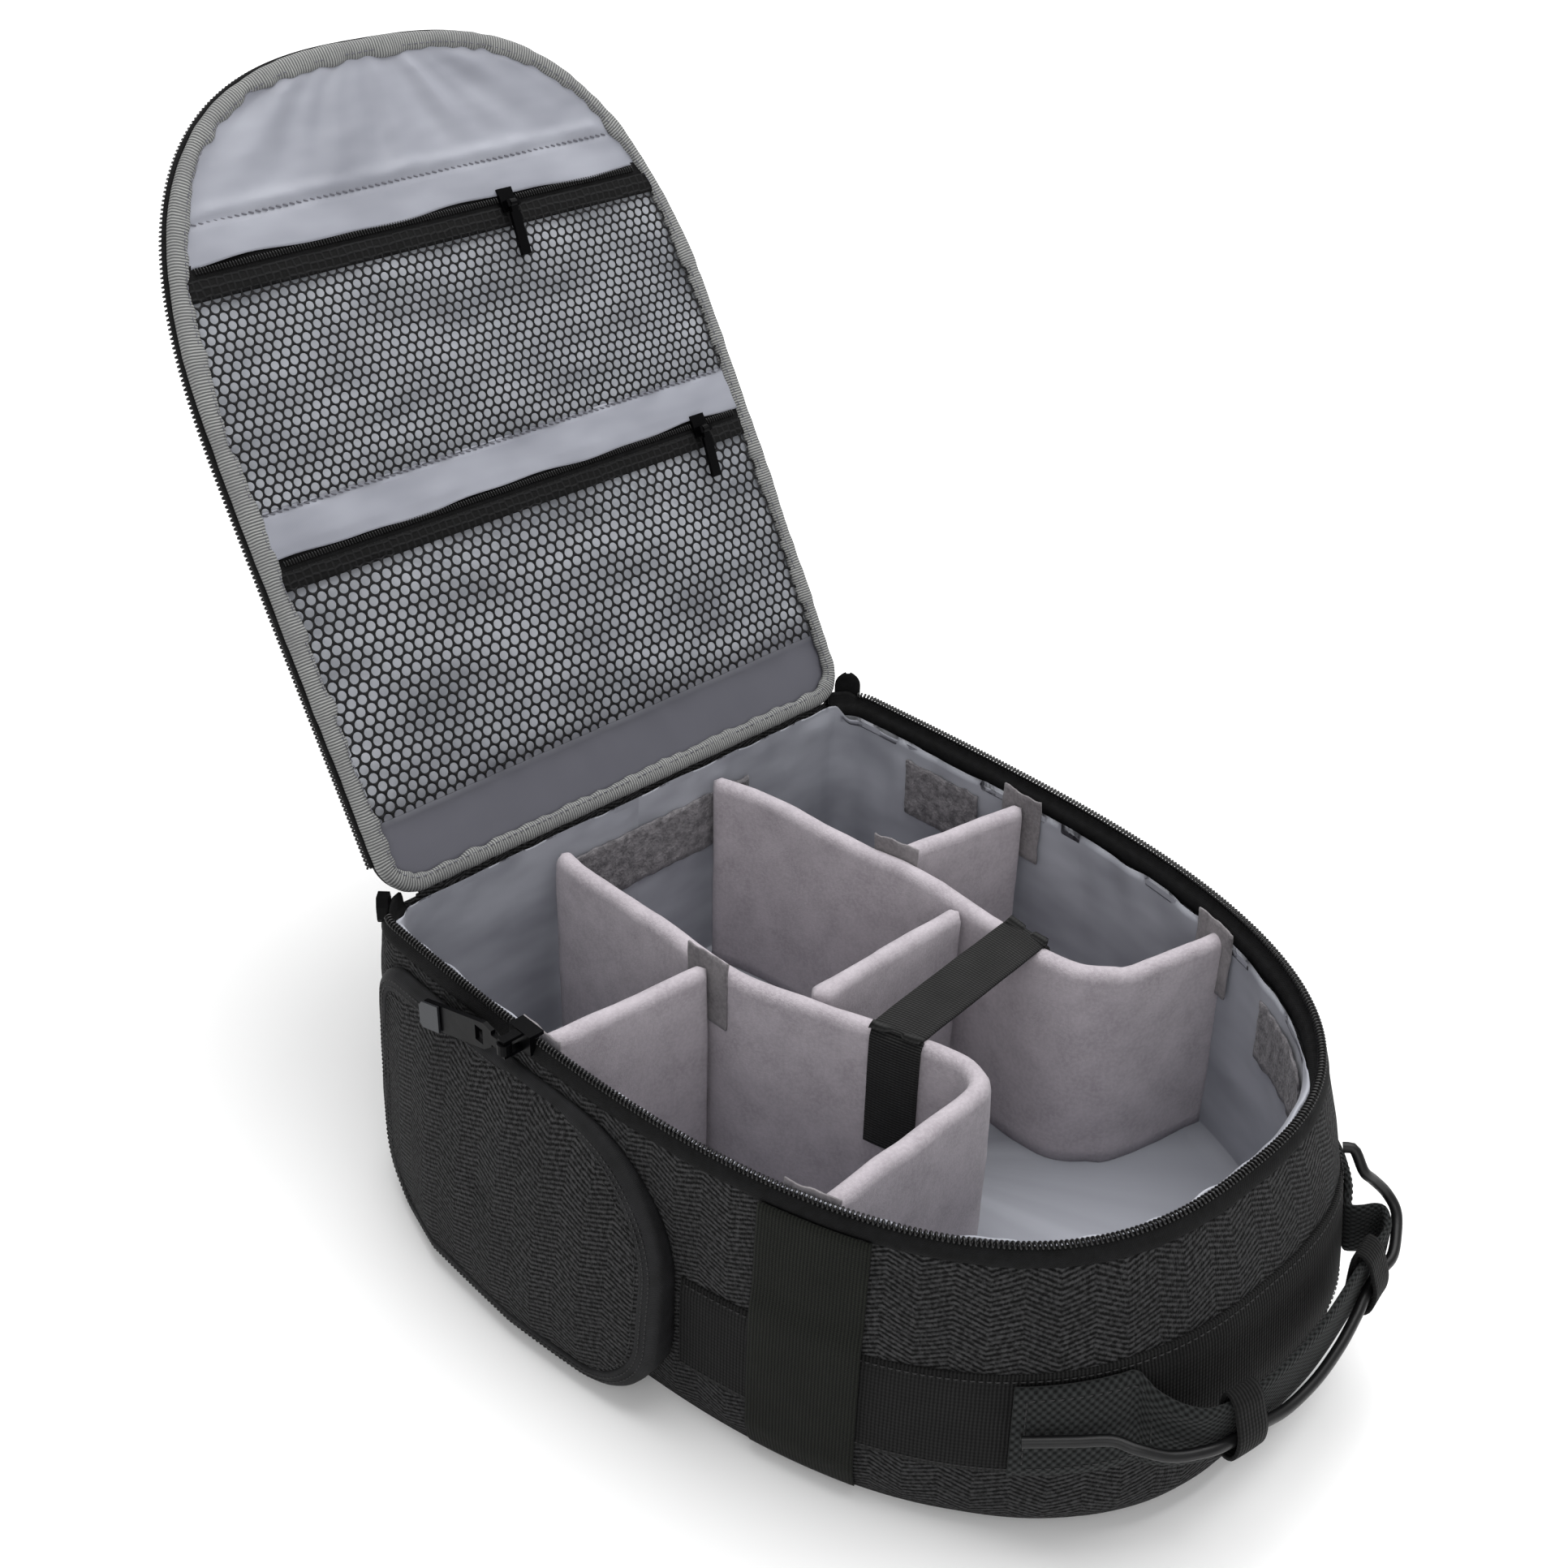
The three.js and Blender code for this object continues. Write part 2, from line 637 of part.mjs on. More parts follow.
// Round cord on the handle, its route chosen by hand: across, out of the strap's outer face, height
// over the strap's middle
const cordOff = handleThick / 2 + cordRadius + fine;
const cordRoute = [
  { across: -0.98, out: 1.2, up: 1 },
  { across: -0.86, out: 1.2, up: 0 },
  { across: -0.76, out: 2.5, up: -1 },
  { across: -0.69, out: 8, up: -2 },
  { across: -0.6, out: 4, up: -2 },
  { across: -0.52, out: 1, up: -2 },
  { across: -0.43, out: 0.2, up: -3 },
  { across: -0.33, out: 0.2, up: -3 },
  { across: -0.15, out: 0.8, up: -7 },
  { across: 0.05, out: 1, up: -8 },
  { across: 0.25, out: 0.8, up: -8 },
  { across: 0.42, out: 0.4, up: -6 },
  { across: 0.5, out: 0, up: -3 },
  { across: 0.62, out: 0, up: -1 },
  { across: 0.72, out: 0.6, up: 0 },
];
// then it goes round the strap's far bend and up to the wall: across, out from the arch's front, height
const cordClimb = [
  { across: 0.82, out: 0.06, z: 63 },
  { across: 0.89, out: -0.33, z: 68 },
  { across: 0.89, out: -0.74, z: 74 },
  { across: 0.84, out: -1.03, z: 81 },
  { across: 0.79, out: -1.2, z: 87 },
];
const cordEnd = { across: 0.76, z: 94 };
function onHandle(across, out, up) {
  const x = across * handleHalf;
  const i = Math.max(1, handleStations.findIndex(s => s.p.x >= x));
  const a = handleStations[i - 1];
  const b = handleStations[i];
  const s = (x - a.p.x) / (b.p.x - a.p.x);
  const normal = handleNormals[i - 1].clone().lerp(handleNormals[i], s).normalize();
  return a.p.clone().lerp(b.p, s).addScaledVector(normal, out)
    .setZ(THREE.MathUtils.lerp(a.z, b.z, s) + up);
}
const cordLast = out => wallPoint(placeAcross(cordEnd.across * handleHalf, cordEnd.z, out), cordEnd.z, out);
const cordCurve = new THREE.CatmullRomCurve3([
  ...cordRoute.map(r => onHandle(r.across, cordOff + r.out, r.up)),
  ...cordClimb.map(r => new THREE.Vector3(r.across * handleHalf, handleFront - r.out * handleReach, r.z)),
  cordLast(3 * cordRadius), cordLast(cordRadius),
]);
const cordShape = new THREE.Shape(Array.from({ length: 8 }, (_, i) => new THREE.Vector2(
  cordRadius * Math.cos(Math.PI / 4 * i), cordRadius * Math.sin(Math.PI / 4 * i))));
add(backpack, 'handle_cord', 'rubber', fromSolid(toSolid(new THREE.ExtrudeGeometry(cordShape, {
  steps: 40, extrudePath: cordCurve,
}))));

// Keepers: webbing loops round the strap and the cord
for (const [name, across] of [['handle_keeper_near', -0.38], ['handle_keeper_far', 0.56]]) {
  const half = keeperWide / 2 / handleHalf;
  const high = handleMiddleWide / 2 + 2;
  const inside = -handleThick / 2 - 2;
  const outside = cordOff + cordRadius + 0.8;
  const ring = (share, more) => [
    [inside - more, -high - more], [inside - more, high + more],
    [handleThick / 2 + 1 + more, high + more], [outside + more, high / 2],
    [outside + more, -high / 2], [handleThick / 2 + 1 + more, -high - more],
  ].map(([out, up]) => onHandle(share, out, up));
  add(backpack, name, 'webbing', skin([
    ring(across - half, 0), ring(across - half, keeperThick),
    ring(across + half, keeperThick), ring(across + half, 0),
  ], true));
}

// Lid, in a frame of its own: x across, y up from the hinge line, z out of the inner face
const lid = new THREE.Group();
lid.position.set(0, hingeY - lidSetback, bodyDepth);
lid.rotation.x = Math.PI - THREE.MathUtils.degToRad(lidAngle);
backpack.add(lid);
const lidLoop = dOutline({
  half: lidHalf,
  hingeHalf: lidHingeHalf,
  corner: lidCorner,
  straight: lidStraight,
  length: lidLength,
  power: lidPower,
});
const lidRing = (z, out) => grow(lidLoop, out).map(p => new THREE.Vector3(p.x, p.y, z));
const lidMiddle = new THREE.Vector2(0, lidLength * 0.45);
const lidShare = (z, share) => lidLoop.map(p => p.clone().lerp(lidMiddle, 1 - share))
  .map(p => new THREE.Vector3(p.x, p.y, z));
const bindingLow = -bindingHigh / 3;
const liningFace = bindingLow - gap; // the lining's face lies under the binding
const lidPanelFace = liningFace - liningThick - gap;
const foot = n => n.y < -0.9 ? lidPanelFoot : 0;
add(lid, 'lid_panel', 'herringbone', skin([
  lidShare(lidPanelFace - lidPanelThick - lidCrown, 0.6),
  lidShare(lidPanelFace - lidPanelThick - lidCrown / 2, 0.87),
  lidRing(lidPanelFace - lidPanelThick, n => foot(n) - 2),
  lidRing(lidPanelFace - lidPanelThick + 1.6, foot),
  lidRing(lidPanelFace - 1.2, foot),
  lidRing(lidPanelFace, n => foot(n) - 1),
]));
add(lid, 'lid_lining', 'satin', skin([
  lidRing(liningFace - liningThick, -1.5),
  lidRing(liningFace, -1.5),
]));
const bindingTop = bindingLow + bindingHigh;
add(lid, 'lid_binding', 'binding', skin(lidLoop.map((_, i) => [
  [0, bindingLow], [0, bindingTop - 1], [-1.5, bindingTop], [1.5 - bindingWide, bindingTop],
  [-bindingWide, bindingTop - 1], [-bindingWide, bindingLow],
].map(([out, z]) => lidRing(z, out)[i])), true));
const lidZip = section => skin(lidLoop.map((_, i) => section.map(([out, z]) => lidRing(z, out)[i]))
  .slice(zipIndex, lidLoop.length - zipIndex + 1));
// The lid's half of the main zip folds back along the padding's edge
const lidTapeTop = bindingLow - gap;
const lidTapeLow = lidTapeTop - lidTapeWide;
add(lid, 'lid_zip_tape', 'tape', lidZip([
  [gap, lidTapeLow], [gap + tapeThick, lidTapeLow], [gap + tapeThick, lidTapeTop], [gap, lidTapeTop],
]));
add(lid, 'lid_zip_teeth', 'coil', lidZip([
  [gap, lidTapeLow - fine], [gap + teethHigh, lidTapeLow - fine],
  [gap + teethHigh * 0.75, lidTapeLow - fine - teethWide], [gap, lidTapeLow - fine - teethWide],
]));

// The part of the lid's face between two heights, inside the binding
const pocketFace = bindingLow + fine; // pocket fronts lie level with the binding
const faceLoop = grow(lidLoop, -bindingWide - gap);
function between(low, high) {
  const kept = [];
  faceLoop.forEach((a, i) => {
    const b = faceLoop[(i + 1) % faceLoop.length];
    const inside = p => p.y >= low && p.y <= high;
    if (inside(a)) {
      kept.push(a);
    }
    const crossings = [low, high].filter(y => (a.y - y) * (b.y - y) < 0)
      .map(y => (y - a.y) / (b.y - a.y)).sort((p, q) => p - q);
    crossings.forEach(s => kept.push(a.clone().lerp(b, s)));
  });
  return kept;
}
const panelBetween = (low, high, z, thick) => plate(between(low, high).map(p => [p.x, p.y]),
  z, z + thick, 'z');

// Coarse net: hexagonal openings in staggered rows
function netPanel(low, high) {
  const pitch = netHoleAcross + netStrand;
  const radius = netHoleAcross / Math.sqrt(3);
  const rowPitch = pitch * Math.sqrt(3) / 2;
  const rows = Math.floor((high - low - 2 * netStrand) / rowPitch);
  const first = (low + high) / 2 - rowPitch * (rows - 1) / 2;
  const openings = [];
  for (let r = 0; r < rows; r++) {
    const y = first + r * rowPitch;
    const half = between(y - radius, y + radius).reduce((m, p) => Math.min(m, Math.abs(p.x)), lidHalf);
    const columns = Math.floor((half - netStrand - netHoleAcross / 2) / pitch * 2 + 1);
    const even = columns - (columns + r) % 2;
    for (let c = 0; c < even; c++) {
      const x = (c - (even - 1) / 2) * pitch;
      openings.push(pin(radius, 4 * clothThick, 'z', 6).translate(x, y, pocketFace));
    }
  }
  return cut(panelBetween(low, high, pocketFace, clothThick), ...openings);
}
add(lid, 'upper_flap', 'satin', panelBetween(upperFlapEdge, lidLength, pocketFace, clothThick));
add(lid, 'lower_flap', 'satin', panelBetween(lowerFlapEdge, lowerStitch, pocketFace, clothThick));
add(lid, 'upper_net', 'net', netPanel(lowerStitch + fine, upperHeadLow - fine));
add(lid, 'lower_net', 'net', netPanel(netFoot, lowerHeadLow - fine));

// Pocket zips: dense net head, tape, teeth, slider and pull bar, under each flap's edge
function pocketZip(name, flapEdge, headLow, across) {
  const teethHalf = teethWide / 2;
  const teethMiddle = flapEdge - fine - teethHalf;
  const tapeHigh = teethMiddle - teethHalf - fine;
  const tapeLow = tapeHigh - pocketTapeWide;
  add(lid, `${name}_net_head`, 'net', panelBetween(headLow, tapeLow - fine, pocketFace, clothThick));
  add(lid, `${name}_zip_tape`, 'tape', panelBetween(tapeLow, tapeHigh, pocketFace, clothThick));
  add(lid, `${name}_zip_teeth`, 'coil', panelBetween(teethMiddle - teethHalf, teethMiddle + teethHalf,
    pocketFace, teethHigh));
  const sliderFace = pocketFace + teethHigh + fine;
  const sliderThick = 1.5;
  const pinUp = sliderFace + sliderThick + 2.4;
  const pinAt = teethMiddle - 3;
  const cheek = 1.4;
  const eyeWide = 3.4;
  const postAt = eyeWide / 2 + fine;
  const post = side => block(
    [side > 0 ? postAt : -postAt - cheek, pinAt - 1.6, sliderFace + sliderThick - 0.2],
    [side > 0 ? postAt + cheek : -postAt, pinAt + 1.6, pinUp + 1.4]);
  const slider = new THREE.Group();
  slider.position.x = across;
  lid.add(slider);
  add(slider, `${name}_slider`, 'plastic', join(
    block([-4, pinAt - 3, sliderFace], [4, teethMiddle + 4.5, sliderFace + sliderThick]),
    post(-1), post(1),
    pin(pinRadius, 2 * postAt + 0.4, 'x').translate(0, pinAt, pinUp)));
  const eyeRadius = 1.9;
  const tip = pinAt - barLength;
  const tipDrop = pinUp - pocketFace - clothThick - 2;
  // the bar slopes down to the net: its lower and upper edge between two shares of its length
  const slope = (from, to) => [[from, -1], [from, 1], [to, 1], [to, -1]].map(([share, edge]) => [
    pinAt + (tip - pinAt) * share, pinUp - tipDrop * share + edge * barThick / 2,
  ]);
  const bar = join(
    pin(eyeRadius, eyeWide, 'x').translate(0, pinAt, pinUp),
    plate(slope(0, 0.22), -eyeWide / 2, eyeWide / 2, 'x'),
    plate(slope(0.17, 1), -barWide / 2, barWide / 2, 'x'));
  add(slider, `${name}_puller`, 'plastic', cut(bar,
    pin(pinRadius + 0.35, eyeWide + 2, 'x').translate(0, pinAt, pinUp)));
}
pocketZip('upper', upperFlapEdge, upperHeadLow, upperPullerAcross);
pocketZip('lower', lowerFlapEdge, lowerHeadLow, lowerPullerAcross);

// Hinge cloth between the wall's top and the lid
const hingeHalf = openingHingeHalf - openingCorner - 2;
add(backpack, 'hinge_strip', 'herringbone', block(
  [-hingeHalf, hingeY - liningIn + fine, wallTop + gap],
  [hingeHalf, hingeY - liningIn + fine + clothThick / 2, bodyDepth + bindingLow]));

// Main slider on the left rim, in a frame of its own: x out of the wall, y to the arch, z from the rim
const slider = new THREE.Group();
const sliderPlace = wallPoint(placeAlong(sliderAlong), bodyDepth, 0);
slider.position.copy(sliderPlace);
const pullerTip = wallPoint(placeAlong(sliderAlong - pullerLength), bodyDepth, 0);
slider.rotation.z = Math.PI + THREE.MathUtils.degToRad(pullerSplay)
  + Math.atan2(sliderPlace.x - pullerTip.x, pullerTip.y - sliderPlace.y);
backpack.add(slider);
const sliderHalf = sliderLength / 2;
const sliderTop = teethHigh / 2 + fine;
const eyeHigh = 4.8;
const eyeMiddle = -1.5;
const cheekThick = 1.4;
const cheek = side => {
  const near = eyeMiddle + side * (eyeHigh / 2 + fine);
  const far = near + side * cheekThick;
  return block([1, -2, Math.min(near, far)], [pinOut + 1.5, 2, Math.max(near, far)]);
};
add(slider, 'main_slider', 'plastic', join(
  block([-1.3, -sliderHalf, -6.2], [1.4, sliderHalf, sliderTop + 1.7]),
  block([-5.5, -sliderHalf, sliderTop], [1.4, sliderHalf, sliderTop + 1.7]),
  cheek(-1), cheek(1),
  pin(pinRadius, eyeHigh + 2 * fine + 0.4, 'z').translate(pinOut, 0, eyeMiddle)));
const droopAt = y => eyeMiddle - pullerDroop * (-y - 8) / (pullerLength - 8);
const pullerIn = pinOut - pullerThick / 2;
const pullerBar = join(
  pin(3, eyeHigh, 'z', 16).translate(pinOut, 0, eyeMiddle),
  block([pullerIn, -12, eyeMiddle - eyeHigh / 2], [pullerIn + pullerThick, -1.5, eyeMiddle + eyeHigh / 2]),
  plate([
    [-7, droopAt(-7) - pullerWide * 0.3], [-7, droopAt(-7) + pullerWide * 0.3],
    [-12, droopAt(-12) + pullerWide / 2], [2 - pullerLength, droopAt(2 - pullerLength) + pullerWide / 2],
    [-pullerLength, droopAt(-pullerLength) + pullerWide * 0.34],
    [-pullerLength, droopAt(-pullerLength) - pullerWide * 0.34],
    [2 - pullerLength, droopAt(2 - pullerLength) - pullerWide / 2], [-12, droopAt(-12) - pullerWide / 2],
  ], pullerIn, pullerIn + pullerThick, 'x'));
add(slider, 'main_puller', 'plastic', cut(pullerBar,
  pin(pinRadius + 0.4, 2 * eyeHigh, 'z').translate(pinOut, 0, eyeMiddle),
  block([pullerIn - 2, -17.5, droopAt(-15) - 3.6], [pullerIn + 4, -12.5, droopAt(-15) + 3.6])));
const endFrom = -pullerLength + pullerEndLength;
add(slider, 'main_puller_end', 'steel', plate([
  [endFrom, droopAt(endFrom) - pullerWide / 2], [endFrom, droopAt(endFrom) + pullerWide / 2],
  [2 - pullerLength, droopAt(2 - pullerLength) + pullerWide / 2],
  [-pullerLength, droopAt(-pullerLength) + pullerWide * 0.34],
  [-pullerLength, droopAt(-pullerLength) - pullerWide * 0.34],
  [2 - pullerLength, droopAt(2 - pullerLength) - pullerWide / 2],
], pullerIn + pullerThick + fine, pullerIn + pullerThick + fine + 1, 'x'));

// Pieces at the hinge corners, set across the corner's diagonal
function atCorner(side, out) {
  const along = openingCorner + out;
  const group = new THREE.Group();
  group.position.set(side * (openingHingeHalf - openingCorner + along * Math.SQRT1_2),
    hingeY - openingCorner + along * Math.SQRT1_2, bodyDepth);
  group.rotation.z = side > 0 ? Math.PI / 4 : Math.PI * 3 / 4;
  backpack.add(group);
  return group;
}
add(atCorner(-1, -1.2), 'corner_slider', 'plastic', plate([
  [-3, -6], [-4, -4], [-4, 2], [-2.6, 6], [2.6, 6], [4, 2], [4, -4], [3, -6],
], -2.5, 2.5, 'x'));
add(atCorner(1, -1.2), 'corner_tape', 'tape', plate([
  [-6, 0.6], [-6, 5], [-4, 8], [0, 9.5], [4, 8], [6, 5], [6, 0.6],
], -0.8, 0.8, 'x'));

// Padded dividers stand on the floor, each along a line in plan
const dividerFoot = floorTop + fine;
const dividerHigh = dividerTop * bodyDepth;
const dividerSection = [
  [-0.5, dividerFoot], [-0.5, dividerHigh - 3.5], [-0.32, dividerHigh - 0.9], [0, dividerHigh],
  [0.32, dividerHigh - 0.9], [0.5, dividerHigh - 3.5], [0.5, dividerFoot],
];
function sideways(line, i) {
  const turn = (a, b) => new THREE.Vector2(a.y - b.y, b.x - a.x).normalize();
  const before = turn(line[Math.max(i - 1, 0)], line[Math.max(i, 1)]);
  const after = turn(line[Math.min(i, line.length - 2)], line[Math.min(i + 1, line.length - 1)]);
  const n = before.clone().add(after).normalize();
  return n.multiplyScalar(1 / Math.max(0.6, n.dot(before)));
}
function divider(name, points, endAcross) {
  const line = points.map(([x, y]) => new THREE.Vector2(x, y));
  const normals = line.map((_, i) => sideways(line, i));
  if (endAcross) {
    normals[line.length - 1] = endAcross;
  }
  add(backpack, name, 'brushed', skin(line.map((p, i) => dividerSection.map(([across, z]) => {
    const q = p.clone().addScaledVector(normals[i], across * dividerThick);
    return new THREE.Vector3(q.x, q.y, z);
  }))));
}

// The tray's inside at the dividers' height
function insideHalf(y) {
  for (let i = 0; i < archIndex; i++) {
    const a = wallPoint(i, dividerHigh, -clearIn, true);
    const b = wallPoint(i + 1, dividerHigh, -clearIn, true);
    if (a.y >= y && b.y <= y && a.y > b.y) {
      return a.x + (b.x - a.x) * (a.y - y) / (a.y - b.y);
    }
  }
  return 0;
}
const hingeInside = wallPoint(0, dividerHigh, -clearIn, true).y;
const dividerEnd = hingeInside - feltThick - 2 * fine - gap;

// A hook-tape tab stands between a divider's end and the face that it grips.
// The face runs from one plan point to another, the tab on its left.
function hookTab(name, from, to) {
  const along = to.clone().sub(from).normalize();
  const off = new THREE.Vector2(-along.y, along.x);
  const middle = from.clone().lerp(to, 0.5);
  const corners = [[-0.5, fine], [0.5, fine], [0.5, fine + tabThick], [-0.5, fine + tabThick]];
  const low = dividerHigh + 6 - tabHigh;
  add(backpack, name, 'webbing', skin([low, dividerHigh + 6].map(z => corners.map(([a, out]) => {
    const p = middle.clone().addScaledVector(along, a * tabWide).addScaledVector(off, out);
    return new THREE.Vector3(p.x, p.y, z);
  }))));
  return { along, end: middle.addScaledVector(off, 2 * fine + tabThick + 0.2) };
}
function wallTab(name, side, y) {
  const half = tabWide / 2 * side;
  return hookTab(name, new THREE.Vector2(side * insideHalf(y - half), y - half),
    new THREE.Vector2(side * insideHalf(y + half), y + half));
}
// Where a long divider's face lies: its line's point at a given y, moved half the thickness aside
function dividerFace(points, y, side) {
  const i = points.findIndex((p, k) => k > 0 && p[1] <= y);
  const [a, b] = [points[i - 1], points[i]];
  const x = a[0] + (b[0] - a[0]) * (y - a[1]) / (b[1] - a[1]);
  const length = Math.hypot(b[0] - a[0], b[1] - a[1]);
  return new THREE.Vector2(x + side * dividerThick / 2 * length / Math.abs(b[1] - a[1]), y);
}
function dividerTab(name, points, side, y) {
  const half = tabWide / 2 * side;
  return hookTab(name, dividerFace(points, y + half, side), dividerFace(points, y - half, side));
}

// Lines in plan: x in half widths of the opening, y in its lengths
const inPlan = ([x, y]) => [x * openingHalf, y * openingLength];
const lengthwise = share => share * openingLength;
const leftLine = [[-0.3197 * openingHalf, dividerEnd], ...[
  [-0.3333, 0.4314], [-0.3333, 0.2629], [-0.3401, 0.2], [-0.3374, 0.1371], [-0.3061, 0.0829],
  [-0.2449, 0.0114], [-0.1905, -0.0571], [-0.1429, -0.1286], [-0.1429, -0.1629], [-0.2041, -0.1886],
  [-0.4082, -0.1914],
].map(inPlan)];
const rightLine = [[0.3061 * openingHalf, dividerEnd], ...[
  [0.3605, 0.3829], [0.3741, 0.2543], [0.4082, 0.14], [0.3878, -0.0086], [0.381, -0.0714],
  [0.4014, -0.12], [0.4626, -0.1486], [0.5306, -0.1686],
].map(inPlan)];
const wingLeft = wallTab('hook_tab_wing_left', -1, lengthwise(-0.1943));
const wingRight = wallTab('hook_tab_wing_right', 1, lengthwise(-0.1914));
const facing = (tab, like) => tab.along.clone().multiplyScalar(Math.sign(tab.along.dot(like)));
divider('long_divider_left', [...leftLine, wingLeft.end.toArray()],
  facing(wingLeft, sideways(leftLine.map(p => new THREE.Vector2(...p)), leftLine.length - 1)));
divider('long_divider_right', [...rightLine, wingRight.end.toArray()],
  facing(wingRight, sideways(rightLine.map(p => new THREE.Vector2(...p)), rightLine.length - 1)));
function crossDivider(name, from, to) {
  const line = [from.end, to.end];
  const n = sideways(line, 0);
  const [a, b] = [facing(from, n), facing(to, n)];
  add(backpack, name, 'brushed', skin([[from.end, a], [to.end, b]].map(([p, across]) => (
    dividerSection.map(([share, z]) => {
      const q = p.clone().addScaledVector(across, share * dividerThick);
      return new THREE.Vector3(q.x, q.y, z);
    })))));
}
crossDivider('cross_divider_left', dividerTab('hook_tab_left_inner', leftLine, -1, lengthwise(0.1743)),
  wallTab('hook_tab_left_wall', -1, lengthwise(0.1943)));
crossDivider('cross_divider_right', dividerTab('hook_tab_right_inner', rightLine, 1, lengthwise(0.1886)),
  wallTab('hook_tab_right_wall', 1, lengthwise(0.1571)));
divider('cross_divider_middle', [[-0.2327, 0.0543], [0.3592, 0.0543]].map(inPlan));

// Loop felt on the tray's wall
function felt(name, from, to) {
  add(backpack, name, 'felt', wallStrip(from, to, feltLow, feltHigh, -clearIn - fine,
    -clearIn - fine - feltThick, { inside: true }));
}
const perHinge = (openingHingeHalf - openingCorner) / 3;
felt('felt_hinge_end', -feltHingeFrom / perHinge, feltHingeTo / perHinge);
felt('felt_arch_end', 13.1, 15.4);
felt('felt_right', 6.4, 7.4);

// Elastic strap over both long dividers: out is the distance past a divider's middle, outward
const strapOver = dividerHigh + gap + dividerStrapThick / 2;
const overLeft = {
  x: -0.185 * openingHalf, y: lengthwise(-0.0657), out: [-0.963, -0.27], wide: [0.27, -0.963],
};
const overRight = {
  x: 0.3844 * openingHalf, y: lengthwise(-0.04), out: [0.999, -0.045], wide: [-0.045, -0.999],
};
const turnDown = dividerThick / 2 + 1.9;
const strapRoute = [
  [overLeft, turnDown, 66],
  [overLeft, turnDown, strapOver - 7.5],
  [overLeft, turnDown - 1.2, strapOver - 1.8],
  [overLeft, turnDown - 3.8, strapOver + 0.2],
  [overLeft, -3, strapOver + 0.5],
  [overRight, -3, strapOver + 0.5],
  [overRight, turnDown - 3.8, strapOver + 0.2],
  [overRight, turnDown - 1.2, strapOver - 1.8],
  [overRight, turnDown, strapOver - 7.5],
  [overRight, turnDown, strapOver - 12],
];
const strapPoints = strapRoute.map(([d, out, z]) => new THREE.Vector3(
  d.x + d.out[0] * out, d.y + d.out[1] * out, z));
add(backpack, 'divider_strap', 'webbing', skin(strapRoute.map(([d], i) => {
  const wide = new THREE.Vector3(d.wide[0], d.wide[1], 0);
  const along = strapPoints[Math.min(i + 1, strapPoints.length - 1)].clone()
    .sub(strapPoints[Math.max(i - 1, 0)]);
  const thick = new THREE.Vector3().crossVectors(wide, along).normalize();
  return [[-1, -1], [1, -1], [1, 1], [-1, 1]].map(([w, t]) => strapPoints[i].clone()
    .addScaledVector(wide, w * dividerStrapWide / 2).addScaledVector(thick, t * dividerStrapThick / 2));
})));

const box = new THREE.Box3().setFromObject(backpack);
const middle = box.getCenter(new THREE.Vector3());
backpack.position.set(-middle.x, -middle.y, -box.min.z);

export default backpack;
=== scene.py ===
import math

import bmesh
import bpy
import numpy as np
from mathutils import Matrix, Vector, noise


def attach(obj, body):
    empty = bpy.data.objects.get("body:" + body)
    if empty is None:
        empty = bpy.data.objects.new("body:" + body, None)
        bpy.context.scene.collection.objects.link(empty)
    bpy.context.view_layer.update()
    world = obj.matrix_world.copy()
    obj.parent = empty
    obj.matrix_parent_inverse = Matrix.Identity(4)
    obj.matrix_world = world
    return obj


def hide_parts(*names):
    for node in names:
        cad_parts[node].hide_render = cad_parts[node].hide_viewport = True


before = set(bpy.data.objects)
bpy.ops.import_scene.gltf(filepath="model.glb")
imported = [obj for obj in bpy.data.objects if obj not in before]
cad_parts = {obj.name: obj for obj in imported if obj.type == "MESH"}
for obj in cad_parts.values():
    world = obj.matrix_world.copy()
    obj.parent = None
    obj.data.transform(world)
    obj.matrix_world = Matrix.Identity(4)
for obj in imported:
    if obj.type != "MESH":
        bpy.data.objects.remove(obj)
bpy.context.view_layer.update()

# Sizes are in millimetres in the bag's own frame: x across, y to the hinge end, z up from the floor.
bagToRow = np.array([9.9171, -70.5309, 0.0])


def toRow(points):
    return (np.asarray(points, float) + bagToRow) / 1000


def linear(value):  # one screen value, 0 to 255, as light
    return value / 255 / 12.92 if value < 11 else ((value / 255 + 0.055) / 1.055) ** 2.4


def tone(red, green, blue):
    return linear(red), linear(green), linear(blue)


# Camera, floor and light

camera = {
    "place": (-522.695, -455.005, 652.050), "lens": 48.406, "sensor": 36,
    "turn": 0.7785211, "down": 0.5635681, "roll": 0.0283820,
}
light = {
    # floor and near: the floor's painted glow away from the bag and next to it, which paints the bag's soft
    # shadow
    "sky": 0.5, "floor": 0.52, "near": 0.03,
    "top": {"place": (0.45, 0.15, 1.85), "target": (0, 0, 0.1), "size": 2.2, "power": 44},
    "front": {"place": (-1.4, -1.3, 1.3), "target": (0, 0, 0.15), "size": 1.6, "power": 13},
}


def makeCamera():
    turn, down, lean = camera["turn"], camera["down"], camera["roll"]
    ahead = Vector((math.sin(turn) * math.cos(down), math.cos(turn) * math.cos(down), -math.sin(down)))
    right = Vector((math.cos(turn), -math.sin(turn), 0))
    up = right.cross(ahead)
    side = math.cos(lean) * right + math.sin(lean) * up
    top = -math.sin(lean) * right + math.cos(lean) * up
    data = bpy.data.cameras.new("photoCamera")
    data.lens = camera["lens"]
    data.sensor_width = camera["sensor"]
    view = bpy.data.objects.new("photoCamera", data)
    bpy.context.scene.collection.objects.link(view)
    turned = Matrix((side, top, -ahead)).transposed().to_4x4()
    view.matrix_world = Matrix.Translation(Vector(toRow(camera["place"]))) @ turned
    bpy.context.scene.camera = view


